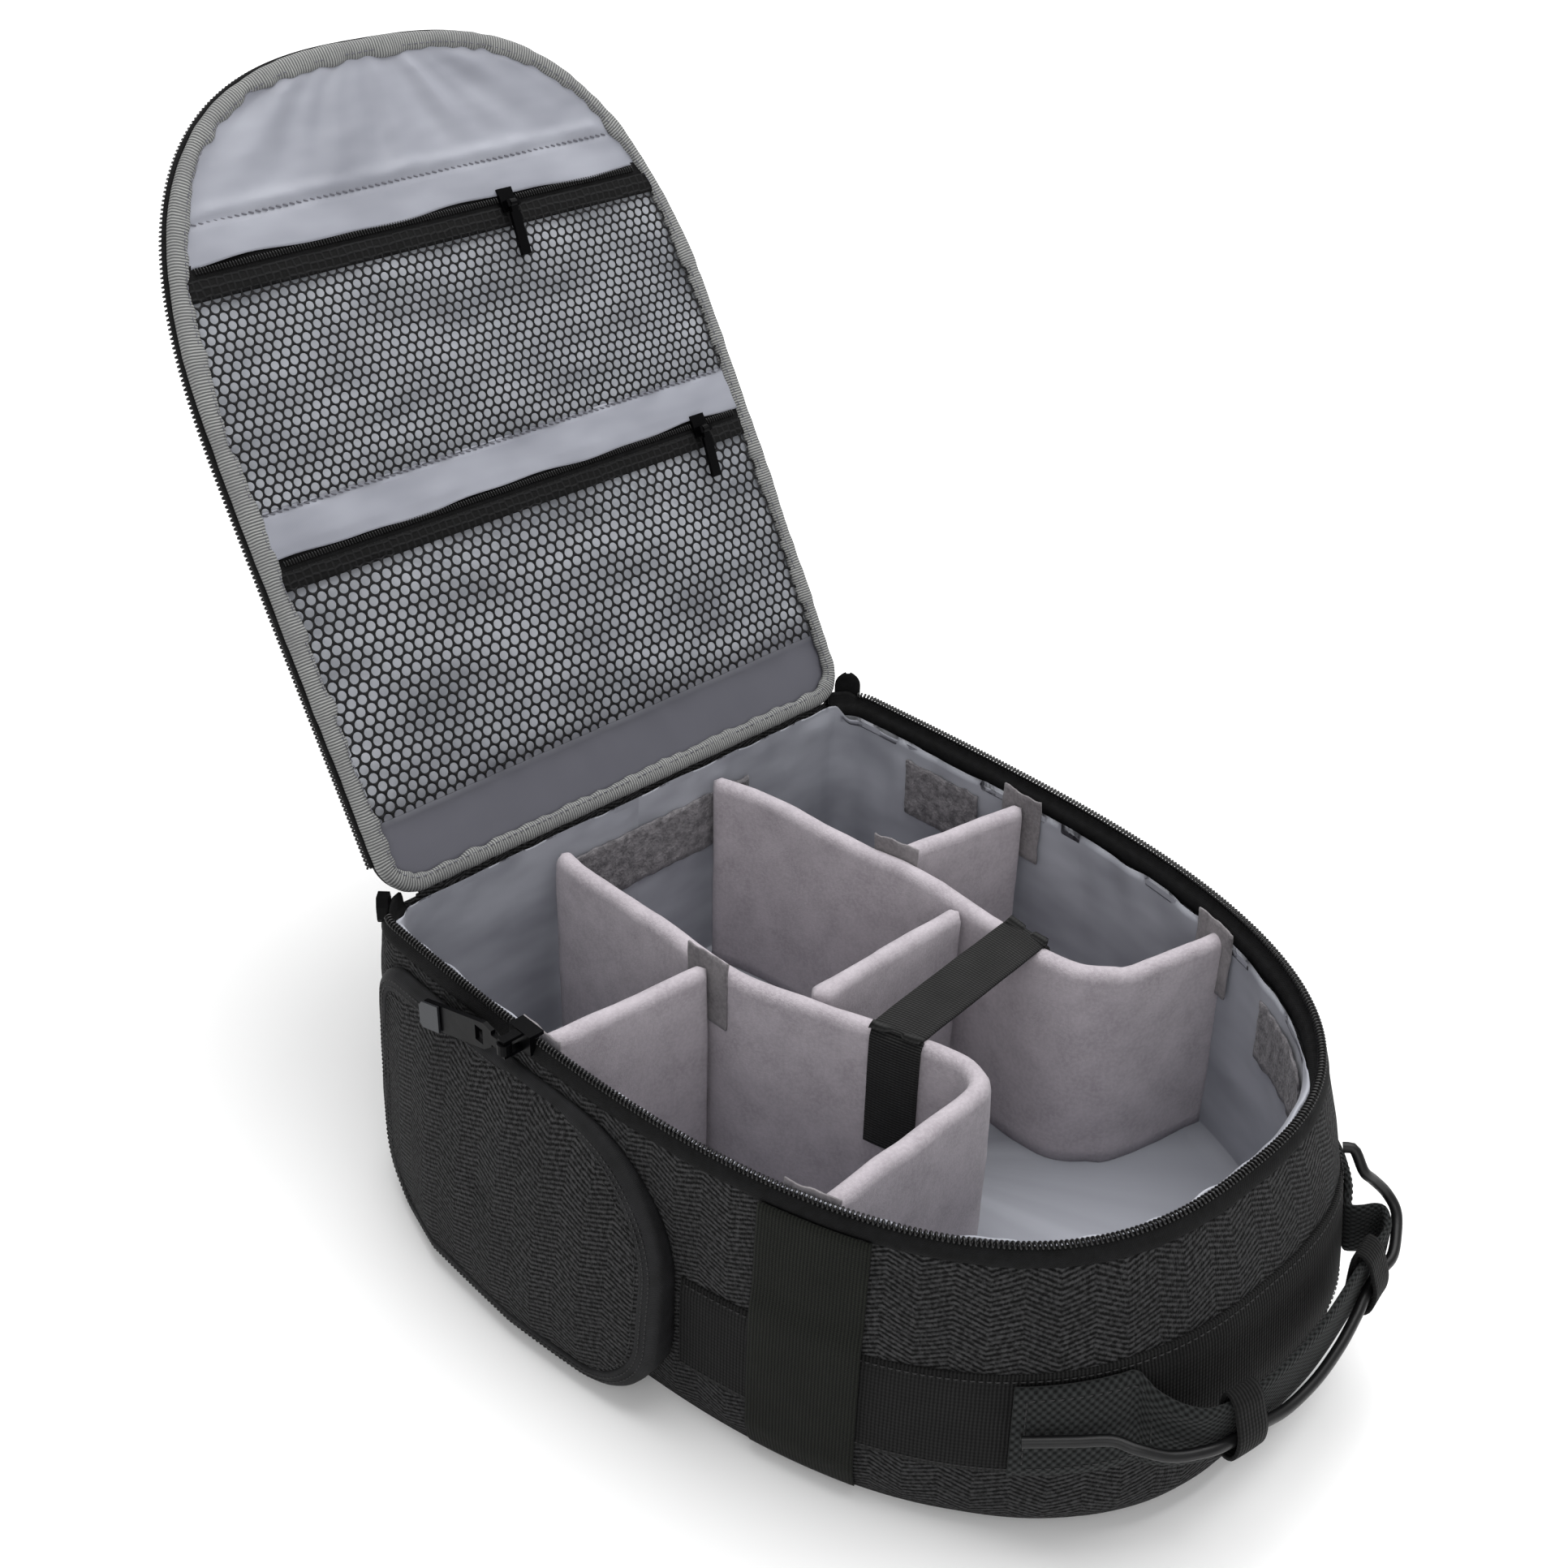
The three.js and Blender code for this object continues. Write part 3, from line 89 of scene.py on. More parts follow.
def makeLamp(name, lamp):
    data = bpy.data.lights.new(name, "AREA")
    data.shape = "DISK"
    data.size = lamp["size"]
    data.energy = lamp["power"]
    made = bpy.data.objects.new(name, data)
    bpy.context.scene.collection.objects.link(made)
    made.location = lamp["place"]
    made.rotation_mode = "QUATERNION"
    made.rotation_quaternion = (Vector(lamp["target"]) - Vector(lamp["place"])).to_track_quat("-Z", "Y")


makeCamera()
makeLamp("topLamp", light["top"])
makeLamp("frontLamp", light["front"])
sky = bpy.data.worlds.new("studio")
bpy.context.scene.world = sky
sky.use_nodes = True
sky.node_tree.nodes["Background"].inputs["Color"].default_value = (1, 1, 1, 1)
sky.node_tree.nodes["Background"].inputs["Strength"].default_value = light["sky"]
bpy.context.scene.view_settings.view_transform = "Standard"


# Shader maths as expressions

class Wire:
    def __init__(self, paint, socket):
        self.paint = paint
        self.socket = socket

    def __add__(self, other):
        return self.paint.maths("ADD", self, other)

    def __radd__(self, other):
        return self.paint.maths("ADD", other, self)

    def __sub__(self, other):
        return self.paint.maths("SUBTRACT", self, other)

    def __rsub__(self, other):
        return self.paint.maths("SUBTRACT", other, self)

    def __mul__(self, other):
        return self.paint.maths("MULTIPLY", self, other)

    def __rmul__(self, other):
        return self.paint.maths("MULTIPLY", other, self)


class Paint:
    def __init__(self, name):
        self.material = bpy.data.materials.new(name)
        self.material.use_nodes = True
        self.tree = self.material.node_tree
        self.tree.nodes.clear()
        surface = self.tree.nodes.new("ShaderNodeOutputMaterial")
        self.shader = self.tree.nodes.new("ShaderNodeBsdfPrincipled")
        self.tree.links.new(self.shader.outputs[0], surface.inputs[0])

    def plug(self, socket, value):
        if isinstance(value, Wire):
            self.tree.links.new(value.socket, socket)
        elif socket.type == "RGBA" and len(value) == 3:
            socket.default_value = (*value, 1)
        else:
            socket.default_value = value

    def node(self, kind, settings=None, inputs=None, out=0):
        made = self.tree.nodes.new(kind)
        for key, value in (settings or {}).items():
            setattr(made, key, value)
        for key, value in (inputs or {}).items():
            self.plug(made.inputs[key], value)
        return Wire(self, made.outputs[out])

    def maths(self, operation, *values):
        vector = any(isinstance(v, Wire) and v.socket.type != "VALUE" for v in values)
        kind = "ShaderNodeVectorMath" if vector else "ShaderNodeMath"
        return self.node(kind, {"operation": operation}, dict(enumerate(values)))

    def mix(self, share, first, second):
        return self.node("ShaderNodeMix", {"data_type": "RGBA"}, {0: share, 6: first, 7: second}, out=2)

    def grain(self, where, size, detail=2.0, rough=0.5):  # soft noise, features of that size in millimetres
        return self.node("ShaderNodeTexNoise", None,
                         {"Vector": where, "Scale": 1 / size, "Detail": detail, "Roughness": rough}, out=0)

    def ribs(self, along, pitch):  # 0 to 1 and back in each pitch
        return self.maths("SINE", along * (2 * math.pi / pitch)) * 0.5 + 0.5

    def limit(self, value, low, high):
        return self.node("ShaderNodeMapRange", {"clamp": True},
                         {"Value": value, "From Min": low, "From Max": high, "To Min": 0.0, "To Max": 1.0})

    def cloth(self):  # the cloth's own coordinates, millimetres along and across
        uv = self.node("ShaderNodeTexCoord", out=2)
        split = self.node("ShaderNodeSeparateXYZ", None, {0: uv})
        return uv, split, Wire(self, split.socket.node.outputs[1])

    def place(self):  # millimetres in the row frame
        return self.node("ShaderNodeTexCoord", out=3) * (1000, 1000, 1000)

    def relief(self, height, deep, strength=1.0):
        return self.node("ShaderNodeBump", None,
                         {"Height": height, "Distance": deep / 1000, "Strength": strength})

    def patches(self, where, size, dark, pale, detail=3):  # two tones in soft patches
        return self.mix(self.limit(self.grain(where, size, detail), 0.3, 0.7), tone(*dark), tone(*pale))

    def done(self, **sockets):
        names = {"color": "Base Color", "rough": "Roughness", "metal": "Metallic", "normal": "Normal",
                 "sheen": "Sheen Weight", "sheenRough": "Sheen Roughness",
                 "specular": "Specular IOR Level"}
        for key, value in sockets.items():
            self.plug(self.shader.inputs[names[key]], value)
        return self.material


# Finishes: colours as on a screen, 0 to 255, and sizes, pitches and depths in millimetres

def herringboneCloth():
    knit = {"column": 12.5, "slope": 0.42, "rib": 2.1, "yarn": 1.1}
    p = Paint("herringboneCloth")
    uv, along, up = p.cloth()
    wander = (p.grain(uv, 22) - 0.5) * 1.6
    zigzag = p.node("ShaderNodeMath", {"operation": "PINGPONG"}, {0: along + wander, 1: knit["column"]})
    rib = p.ribs(up + zigzag * knit["slope"] + wander * 0.5, knit["rib"])
    yarn = p.ribs(along + p.grain(uv, 3) * 2.5, knit["yarn"])
    broken = p.limit(p.grain(uv, 1.9, 3), 0.4, 0.6)
    height = rib * (0.65 + 0.35 * broken) + yarn * 0.22 + p.grain(uv, 0.7, 2) * 0.3
    shade = p.limit(rib * 0.65 + broken * 0.5 + p.grain(uv, 0.8) * 0.3, 0.42, 1.25)
    color = p.mix(shade, tone(7, 7, 7), tone(66, 66, 67))
    color = p.mix(p.limit(p.grain(uv, 30), 0.3, 0.75) * 0.3, color, tone(20, 20, 21))
    return p.done(color=color, rough=0.92, sheen=0.03, sheenRough=0.4, normal=p.relief(height, 0.7),
                  specular=0.12)


def zipTape():
    p = Paint("zipTape")
    uv, along, up = p.cloth()
    weave = p.ribs(along + up * 0.8, 0.9) * 0.6 + p.ribs(up, 0.8) * 0.3
    color = p.patches(uv, 4, (9, 9, 9), (18, 18, 19))
    return p.done(color=color, rough=0.78, normal=p.relief(weave, 0.12), specular=0.14)


def smoothBorder():
    p = Paint("smoothBorder")
    uv, along, up = p.cloth()
    color = p.patches(uv, 9, (13, 13, 14), (25, 25, 27))
    return p.done(color=color, rough=0.62, normal=p.relief(p.ribs(along, 0.6) + p.grain(uv, 3) * 2, 0.1),
                  specular=0.2)


def glossPlastic():
    p = Paint("glossPlastic")
    where = p.place()
    rough = 0.26 + p.grain(where, 6, 4) * 0.16
    return p.done(color=tone(5, 5, 6), rough=rough, normal=p.relief(p.grain(where, 2.5), 0.03), specular=0.06)


def zipCoil():
    p = Paint("zipCoil")
    where = p.place()
    color = p.patches(where, 5, (8, 8, 8), (17, 16, 17), detail=2)
    return p.done(color=color, rough=0.28, normal=p.relief(p.grain(where, 0.8), 0.03), specular=0.35)


def greySatin(name, low, high, shadeBelow=None):  # shadeBelow: how far up from the hinge the satin is painted in shade
    p = Paint(name)
    uv, along, up = p.cloth()
    twill = p.ribs(along * 0.9 + up, 0.55)
    soft = p.grain(uv * (0.6, 1.5, 1), 30, 2)
    color = p.mix(p.limit(soft, 0.3, 0.72), tone(*low), tone(*high))
    color = p.mix(twill * 0.12, color, tone(*[c - 26 for c in low]))
    if shadeBelow:
        # painted shade: the satin turns to a darker tone near the hinge
        color = p.mix(p.limit(up, shadeBelow + 6, shadeBelow - 8), color, tone(86, 86, 94))
    height = twill * 0.05 + p.grain(uv, 21, 2) * 0.8
    return p.done(color=color, rough=0.4 + p.grain(uv, 12) * 0.12, sheen=0.12, sheenRough=0.3,
                  normal=p.relief(height, 0.5), specular=0.4)


def ribbedBinding():
    p = Paint("ribbedBinding")
    uv, along, up = p.cloth()
    rib = p.ribs(along + (p.grain(uv, 6) - 0.5) * 0.8, 1.25)
    color = p.mix(rib, tone(70, 71, 72), tone(152, 153, 151))
    color = p.mix(p.limit(p.grain(uv, 14), 0.35, 0.75) * 0.4, color, tone(98, 98, 100))
    return p.done(color=color, rough=0.72, sheen=0.05, normal=p.relief(rib + p.grain(uv, 2) * 0.5, 0.3),
                  specular=0.3)


def brushedFleece(name, low, high):
    p = Paint(name)
    where = p.place()
    fibre = p.grain(where, 0.9, 4, 0.7)
    cloud = p.grain(where, 14, 3)
    speck = p.limit(p.grain(where, 1.6, 3), 0.4, 0.62)
    color = p.mix(p.limit(cloud, 0.3, 0.7), tone(*low), tone(*high))
    color = p.mix(speck * 0.3, color, tone(*[c + 20 for c in high]))
    return p.done(color=color, rough=1.0, sheen=0.18, sheenRough=0.6,
                  normal=p.relief(fibre + cloud * 1.5, 0.35), specular=0.1)


def loopFelt():
    p = Paint("loopFelt")
    where = p.place()
    loops = p.node("ShaderNodeTexVoronoi", None, {"Vector": where, "Scale": 1 / 1.4})
    cloud = p.limit(p.grain(where, 4, 4, 0.65), 0.35, 0.68)
    color = p.mix(cloud, tone(86, 84, 87), tone(136, 133, 136))
    return p.done(color=color, rough=1.0, sheen=0.15, normal=p.relief(loops + cloud, 0.4), specular=0.1)


def webbing(name, pitch, dark, pale, line=1.7):
    p = Paint(name)
    uv, along, up = p.cloth()
    rib = p.ribs(along + (p.grain(uv, 9) - 0.5) * 0.5, pitch)
    yarn = p.ribs(up, line)
    color = p.mix(rib * (0.7 + 0.3 * yarn), tone(*dark), tone(*pale))
    color = p.mix(p.limit(p.grain(uv, 18), 0.35, 0.75) * 0.35, color, tone(*dark))
    height = rib + yarn * 0.35 + p.grain(uv, 1) * 0.3
    return p.done(color=color, rough=0.8, sheen=0.02, normal=p.relief(height, 0.28), specular=0.12)


def basketWeave():
    p = Paint("basketWeave")
    uv, along, up = p.cloth()
    checks = p.maths("SINE", along * (2 * math.pi / 3.4)) * p.maths("SINE", up * (2 * math.pi / 2.6))
    color = p.mix(p.limit(checks, -0.7, 0.7), tone(11, 12, 12), tone(46, 48, 48))
    return p.done(color=color, rough=0.82, sheen=0.03, normal=p.relief(checks + p.grain(uv, 0.8) * 0.5, 0.5),
                  specular=0.12)


def netYarn():
    p = Paint("netYarn")
    where = p.place()
    color = p.patches(where, 3, (9, 9, 10), (20, 20, 22))
    return p.done(color=color, rough=0.6, normal=p.relief(p.grain(where, 0.5), 0.1), specular=0.2)


def denseNet():
    p = Paint("denseNet")
    uv, along, up = p.cloth()
    cells = p.node("ShaderNodeTexVoronoi", {"feature": "DISTANCE_TO_EDGE"},
                   {"Vector": uv, "Scale": 1 / 3.6, "Randomness": 0.25})
    ring = p.limit(cells, 0.04, 0.22)
    color = p.mix(ring, tone(22, 22, 23), tone(6, 6, 6))
    return p.done(color=color, rough=0.75, normal=p.relief(1 - ring, 0.5), specular=0.15)


def matteRubber():
    p = Paint("matteRubber")
    where = p.place()
    color = p.patches(where, 8, (10, 10, 11), (17, 17, 18))
    return p.done(color=color, rough=0.4, normal=p.relief(p.grain(where, 0.6), 0.04), specular=0.3)


def satinSteel():
    p = Paint("satinSteel")
    where = p.place()
    brushed = p.grain(where * (1, 1, 9), 2.5, 4)
    color = p.mix(brushed, tone(38, 39, 42), tone(66, 68, 72))
    return p.done(color=color, metal=0.8, rough=0.36 + brushed * 0.14, normal=p.relief(brushed, 0.03))


def sewingThread(name, shade):
    p = Paint(name)
    where = p.place()
    color = p.mix(p.grain(where, 0.6), tone(*shade), tone(*[c + 14 for c in shade]))
    return p.done(color=color, rough=0.6, normal=p.relief(p.grain(where, 0.4), 0.05))


def spacerMesh():
    p = Paint("spacerMesh")
    where = p.place()
    cells = p.node("ShaderNodeTexVoronoi", None, {"Vector": where, "Scale": 1 / 2.4, "Randomness": 0.2})
    hole = p.limit(cells, 0.15, 0.4)
    color = p.mix(hole, tone(6, 6, 6), tone(28, 28, 29))
    return p.done(color=color, rough=0.9, normal=p.relief(hole, 0.5), specular=0.1)


def studioFloor():
    p = Paint("studioFloor")
    where = p.place()
    far = p.node("ShaderNodeVectorMath", {"operation": "LENGTH"}, {0: where}, out=1)
    glow = p.limit(far, 230, 900) * light["floor"] + light["near"]  # painted glow: the floor glows more away from the bag, which paints the bag's soft shadow near it
    p.plug(p.shader.inputs["Emission Color"], p.mix(glow, (0, 0, 0), (1, 1, 1)))
    p.shader.inputs["Emission Strength"].default_value = 1
    return p.done(color=(0.93, 0.93, 0.93), rough=0.75 + p.grain(where, 60) * 0.05, specular=0.15)


paint = {
    "herringbone": herringboneCloth(),
    "tape": zipTape(),
    "border": smoothBorder(),
    "plastic": glossPlastic(),
    "coil": zipCoil(),
    "satin": greySatin("greySatin", (124, 126, 135), (148, 150, 159)),
    # the tray lining's copy of the grey satin, painted lighter than the lid's satin to make up for the shade
    # inside the bag
    "traySatinPaintedLight": greySatin("traySatinPaintedLight", (140, 142, 150), (170, 172, 180)),
    # the lid lining's copy of the grey satin, painted lighter to make up for the net's shadow over it, with
    # painted shade near the hinge
    "shadeSatin": greySatin("pocketSatinPaintedLight", (142, 145, 152), (202, 205, 212), 38),
    "binding": ribbedBinding(),
    "brushed": brushedFleece("brushedFleece", (157, 150, 156), (176, 169, 175)),
    "tab": brushedFleece("hookTape", (98, 94, 97), (132, 128, 130)),
    "felt": loopFelt(),
    "webbing": webbing("ribbedWebbing", 1.5, (5, 5, 5), (34, 34, 34)),
    "elastic": webbing("ribbedElastic", 1.4, (6, 7, 5), (31, 33, 28), line=0.9),
    "strap": webbing("insideStrap", 1.3, (18, 18, 18), (56, 56, 56)),
    "basket": basketWeave(),
    "net": netYarn(),
    "denseNet": denseNet(),
    "rubber": matteRubber(),
    "steel": satinSteel(),
    "mesh": spacerMesh(),
    "greyThread": sewingThread("greyThread", (84, 84, 92)),
    "darkThread": sewingThread("darkThread", (12, 12, 13)),
}
print("finishes made")


# Mesh tools

def unit(ways):  # the same directions, one long
    return ways / np.linalg.norm(ways, axis=-1)[..., None]


def smoothStep(share):
    share = np.clip(share, 0, 1)
    return share * share * (3 - 2 * share)


def distances(line):  # how far along the line each of its points is
    return np.concatenate([[0], np.cumsum(np.linalg.norm(np.diff(line, axis=0), axis=1))])


def meanDistances(grid, axis):
    steps = np.linalg.norm(np.diff(grid, axis=axis), axis=2).mean(1 - axis)
    return np.concatenate([[0], np.cumsum(steps)])


def valuesAt(at, long, line):  # what the line holds at those distances
    return np.stack([np.interp(at, long, column) for column in np.asarray(line).T], 1)


def evenLoop(loop, count):  # a closed line at even steps, and its length
    closed = np.r_[loop, loop[:1]]
    long = distances(closed)
    return valuesAt(np.linspace(0, long[-1], count, endpoint=False), long, closed), long[-1]


def smoothLine(points, count):  # a smooth curve through points, at even steps
    p = np.asarray(points, float)
    ends = np.concatenate([[2 * p[0] - p[1]], p, [2 * p[-1] - p[-2]]])
    t = np.linspace(0, 1, 24, endpoint=False)[:, None]
    bits = []
    for a, b, c, d in zip(ends[:-3], ends[1:-2], ends[2:-1], ends[3:]):
        bend = (2 * a - 5 * b + 4 * c - d) * t ** 2 + (3 * b - a - 3 * c + d) * t ** 3
        bits.append(0.5 * (2 * b + (c - a) * t + bend))
    fine = np.concatenate(bits + [p[-1:]])
    long = distances(fine[:, :3])
    return valuesAt(np.linspace(0, long[-1], count), long, fine)


def swirl(points, size, seed=0.0):  # smooth noise from about -1 to 1, its waves of that size
    points = np.asarray(points, float)
    flat = points.reshape(-1, points.shape[-1]) / size + seed
    if flat.shape[1] == 2:
        flat = np.c_[flat, np.full(len(flat), seed)]
    return np.array([noise.noise(Vector(p)) for p in flat]).reshape(points.shape[:-1]) * 1.8


def flatSwirl(first, second, size, seed):  # the same over two coordinates
    return swirl(np.stack(np.broadcast_arrays(first, second), -1), size, seed)


def meshPiece(name, points, faces, corners=None):
    mesh = bpy.data.meshes.new(name)
    mesh.from_pydata(toRow(points).tolist(), [], faces)
    if corners is not None:
        mesh.uv_layers.new(name="cloth").data.foreach_set("uv", np.asarray(corners, np.float32).ravel())
    mesh.polygons.foreach_set("use_smooth", [True] * len(mesh.polygons))
    mesh.update()
    piece = bpy.data.objects.new(name, mesh)
    bpy.context.scene.collection.objects.link(piece)
    return piece


def cleanMesh(piece, merge=0.0):
    work = bmesh.new()
    work.from_mesh(piece.data)
    if merge:
        bmesh.ops.remove_doubles(work, verts=work.verts, dist=merge / 1000)
    bmesh.ops.recalc_face_normals(work, faces=work.faces)
    work.to_mesh(piece.data)
    work.free()


# rows: along, across, place. heart is a point that the faces turn away from.
def surface(name, rows, ringAlong=False, ringAcross=False, caps=False, heart=None, plan=None):
    rows = np.asarray(rows, float)
    n, k = rows.shape[:2]
    full = np.concatenate([rows, rows[:, :1]], 1) if ringAcross else rows
    full = np.concatenate([full, full[:1]], 0) if ringAlong else full
    if plan is None:
        spans = np.meshgrid(meanDistances(full, 0), meanDistances(full, 1), indexing="ij")
        uv = np.stack(spans, 2)
    else:
        uv = plan(full)
    steps = np.meshgrid(np.arange(full.shape[0] - 1), np.arange(full.shape[1] - 1), indexing="ij")
    i, j = [a.ravel() for a in steps]
    ends = [(i, j), (i, j + 1), (i + 1, j + 1), (i + 1, j)]
    quads = np.stack([(a % n) * k + b % k for a, b in ends], 1)
    corners = np.stack([uv[a, b] for a, b in ends], 1)
    if heart is not None:
        p = rows.reshape(-1, 3)[quads]
        normal = np.cross(p[:, 2] - p[:, 0], p[:, 3] - p[:, 1])
        if (normal * (p.mean(1) - np.asarray(heart, float))).sum() < 0:
            quads, corners = quads[:, ::-1], corners[:, ::-1]
    faces, corners = quads.tolist(), corners.reshape(-1, 2).tolist()
    if caps:
        for row in (0, n - 1):
            faces.append([row * k + c for c in range(k)])
            corners += uv[min(row, uv.shape[0] - 1), :k].tolist()
    piece = meshPiece(name, rows.reshape(-1, 3), faces, corners)
    if caps or (ringAlong and ringAcross):
        cleanMesh(piece)
    return piece


def thicken(piece, thick, offset=-1.0):
    layer = piece.modifiers.new("thickness", "SOLIDIFY")
    layer.thickness = thick / 1000
    layer.offset = offset
    return piece


def dress(piece, finish, slot, *nodes):
    piece.data.materials.clear()
    piece.data.materials.append(paint[finish])
    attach(piece, "bag")
    if nodes:
        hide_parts(*nodes)
    return piece


def tube(points, ways, radius, sides):  # ways: one direction across the line at each point
    going = unit(np.gradient(points, axis=0))
    ways = unit(ways - (ways * going).sum(1)[:, None] * going)
    others = np.cross(going, ways)
    turn = np.linspace(0, 2 * math.pi, sides, endpoint=False)[:, None]
    return points[:, None] + radius * (np.cos(turn) * ways[:, None] + np.sin(turn) * others[:, None])


# A zip's coil: half is its half width and half height, wire the wire's radius
def coil(name, node, line, outs, ups, pitch, half, wire, perTurn=9):
    long = distances(line)
    at = np.linspace(0, long[-1], int(long[-1] / pitch) * perTurn)
    outs, ups = [np.broadcast_to(a, line.shape) for a in (outs, ups)]
    place, out, up = [valuesAt(at, long, a) for a in (line, outs, ups)]
    spin = (np.arange(len(at)) * 2 * math.pi / perTurn)[:, None]
    ways = out * np.cos(spin) + up * np.sin(spin)
    points = place + half[0] * out * np.cos(spin) + half[1] * up * np.sin(spin)
    piece = surface(name, tube(points, ways, wire, sides=5), ringAcross=True, caps=True)
    dress(piece, "coil", "coil", node)


# A stitch's rings: share of its length, share of the thread's radius, lift in radii
stitchRings = np.array([(0, 0.3, -0.6), (0.15, 0.85, 0.1), (0.5, 1, 0.35), (0.85, 0.85, 0.1), (1, 0.3, -0.6)])
stitchFaces = [[c for c in range(5, -1, -1)], [24 + c for c in range(6)]]
for low in range(0, 24, 6):
    stitchFaces += [[low + c, low + (c + 1) % 6, low + 6 + (c + 1) % 6, low + 6 + c] for c in range(6)]


# A row of stitches: size is a stitch's length, the pitch and the thread's radius
def sew(name, line, ups, size, thread, slot, slant=0.0, closed=False):
    length, pitch, radius = size
    ups = np.broadcast_to(ups, line.shape)
    if closed:
        line, ups = np.r_[line, line[:1]], np.r_[ups, ups[:1]]
    long = distances(line)
    starts = np.arange(pitch / 2, long[-1] - length, pitch)
    up = valuesAt(starts + length / 2, long, ups)
    a, b = valuesAt(starts, long, line), valuesAt(starts + length, long, line)
    across = unit(np.cross(b - a, up))
    a, b = a - across * slant, b + across * slant
    share, fat, lift = stitchRings.T[:, :, None]
    turn = np.linspace(0, 2 * math.pi, 6, endpoint=False)[:, None]
    middle = a[:, None] + (b - a)[:, None] * share + up[:, None] * radius * lift
    rim = np.cos(turn) * across[:, None, None] + np.sin(turn) * up[:, None, None]
    points = middle[:, :, None] + radius * fat[:, None] * rim
    faces = []
    for base in range(0, len(starts) * 30, 30):
        faces += [[base + corner for corner in face] for face in stitchFaces]
    piece = meshPiece(name, points.reshape(-1, 3), faces)
    cleanMesh(piece)
    dress(piece, thread, slot)


# The D outline of opening and lid: hinge middle, right corner, right side, arch, left side

def dOutline(d, count):
    inner = d["hingeHalf"] - d["corner"]
    turn = np.linspace(0, math.pi / 2, 40)
    side = np.linspace(0, 1, 60)[1:-1]
    arch = np.linspace(0, math.pi / 2, 600)
    x = np.concatenate([
        np.linspace(0, inner, 30)[:-1], inner + d["corner"] * np.sin(turn),
        d["hingeHalf"] + (d["half"] - d["hingeHalf"]) * np.sin(side * math.pi / 2),
        d["half"] * np.abs(np.cos(arch)) ** (2 / d["power"]),
    ])
    t = np.concatenate([
        np.zeros(29), d["corner"] * (1 - np.cos(turn)), d["corner"] + (d["straight"] - d["corner"]) * side,
        d["straight"] + (d["length"] - d["straight"]) * np.sin(arch) ** (2 / d["power"]),
    ])
    return evenLoop(np.c_[np.r_[x, -x[-2:0:-1]], np.r_[t, t[-2:0:-1]]], count)


def outward(loop):
    step = unit(np.roll(loop, -1, 0) - np.roll(loop, 1, 0))
    return np.c_[step[:, 1], -step[:, 0]]


bag = {
    "half": 147, "hingeHalf": 145, "corner": 22, "straight": 103, "length": 350, "power": 2.6,
    "depth": 133, "hingeY": 179, "sideBulge": 3, "archBulge": 20, "hingeBulge": 4, "thick": 8, "wallTop": 126,
    "swellLevels": (0, 0.035, 0.12, 0.35, 0.6, 0.8, 0.93, 1),  # shares of the depth
    "swells": (0.15, 0.8, 1.08, 1, 0.75, 0.4, 0.05, 0),
}
openingLoop, aroundAll = dOutline(bag, 480)
openingOut = outward(openingLoop) * (1, -1)
openingLoop = openingLoop * (1, -1) + (0, bag["hingeY"])
ringAt = np.linspace(0, aroundAll, len(openingLoop) + 1)
ringAll = ringAt[:-1]
fineLevel = np.linspace(0, 1, 101)
kernel = np.hanning(11) / np.hanning(11).sum()
roughSwell = np.interp(fineLevel, bag["swellLevels"], bag["swells"])
fineSwell = np.convolve(np.pad(roughSwell, 5, mode="edge"), kernel, "valid")  # with its corners rounded


def roundAt(s, values):
    return np.interp(s % aroundAll, ringAt, np.r_[values, values[:1]])


def wallOut(s):
    return unit(np.stack([roundAt(s, openingOut[:, 0]), roundAt(s, openingOut[:, 1]), 0 * s], -1))


# A point of the wall: s is the way round from the hinge's middle, out the distance from its outer face
def wallAt(s, z, out=0.0, inside=False):
    s, z, out = np.broadcast_arrays(*[np.asarray(v, float) for v in (s, z, out)])
    nx, ny = np.moveaxis(wallOut(s), -1, 0)[:2]
    endBulge = np.where(ny < 0, bag["archBulge"], bag["hingeBulge"])
    bulge = bag["sideBulge"] * np.abs(nx) + endBulge * np.abs(ny) ** 2.3
    far = bulge * np.interp(z / bag["depth"], fineLevel, fineSwell) * (0.6 if inside else 1) + out
    x, y = roundAt(s, openingLoop[:, 0]), roundAt(s, openingLoop[:, 1])
    return np.stack([x + nx * far, y + ny * far, z], -1)


halfWay = len(openingLoop) // 2  # the arch's middle


def leftAt(distance):  # the way round to the left side, a distance from the hinge end
    far = bag["hingeY"] - openingLoop[halfWay:, 1]
    return np.interp(distance, far[::-1], ringAt[halfWay:-1][::-1])


def archAt(x, z, out):  # the way round to a place on the arch
    s = np.linspace(aroundAll * 0.3, aroundAll * 0.7, 500)
    return np.interp(-np.asarray(x, float), -wallAt(s, z, out)[:, 0], s)


heart = (0, 20, 60)  # a point inside the bag


# Wall, back panel, shoulder straps and lining

wall = {
    "levels": (0, 2, 5, 9, 14, 20, 27, 35, 43, 52, 61, 70, 79, 88, 96, 104, 111, 117, 121),
    "rim": [(123.6, -0.2), (125.2, -0.8), (126, -2.6), (126, -6), (124, -8)],  # height, out
    "innerLevels": (110, 85, 60, 35, 12, 0), "wave": 0.7, "ripple": 0.35, "fadeLow": 20, "fadeHigh": 14,
}


def makeWall():
    columns = []
    for z in wall["levels"]:
        p = wallAt(ringAll, z)
        wave = wall["wave"] * swirl(p, 55, 3.1) + wall["ripple"] * swirl(p, 21, 7.7)
        fade = min(1, z / wall["fadeLow"]) * min(1, (bag["wallTop"] - z) / wall["fadeHigh"])
        columns.append(wallAt(ringAll, z, wave * fade))
    columns += [wallAt(ringAll, z, out) for z, out in wall["rim"]]
    columns += [wallAt(ringAll, z, -bag["thick"], True) for z in wall["innerLevels"]]
    piece = surface("wall_cloth", np.stack(columns, 1), ringAlong=True, ringAcross=True)
    dress(piece, "herringbone", "herringbone", "side_wall")


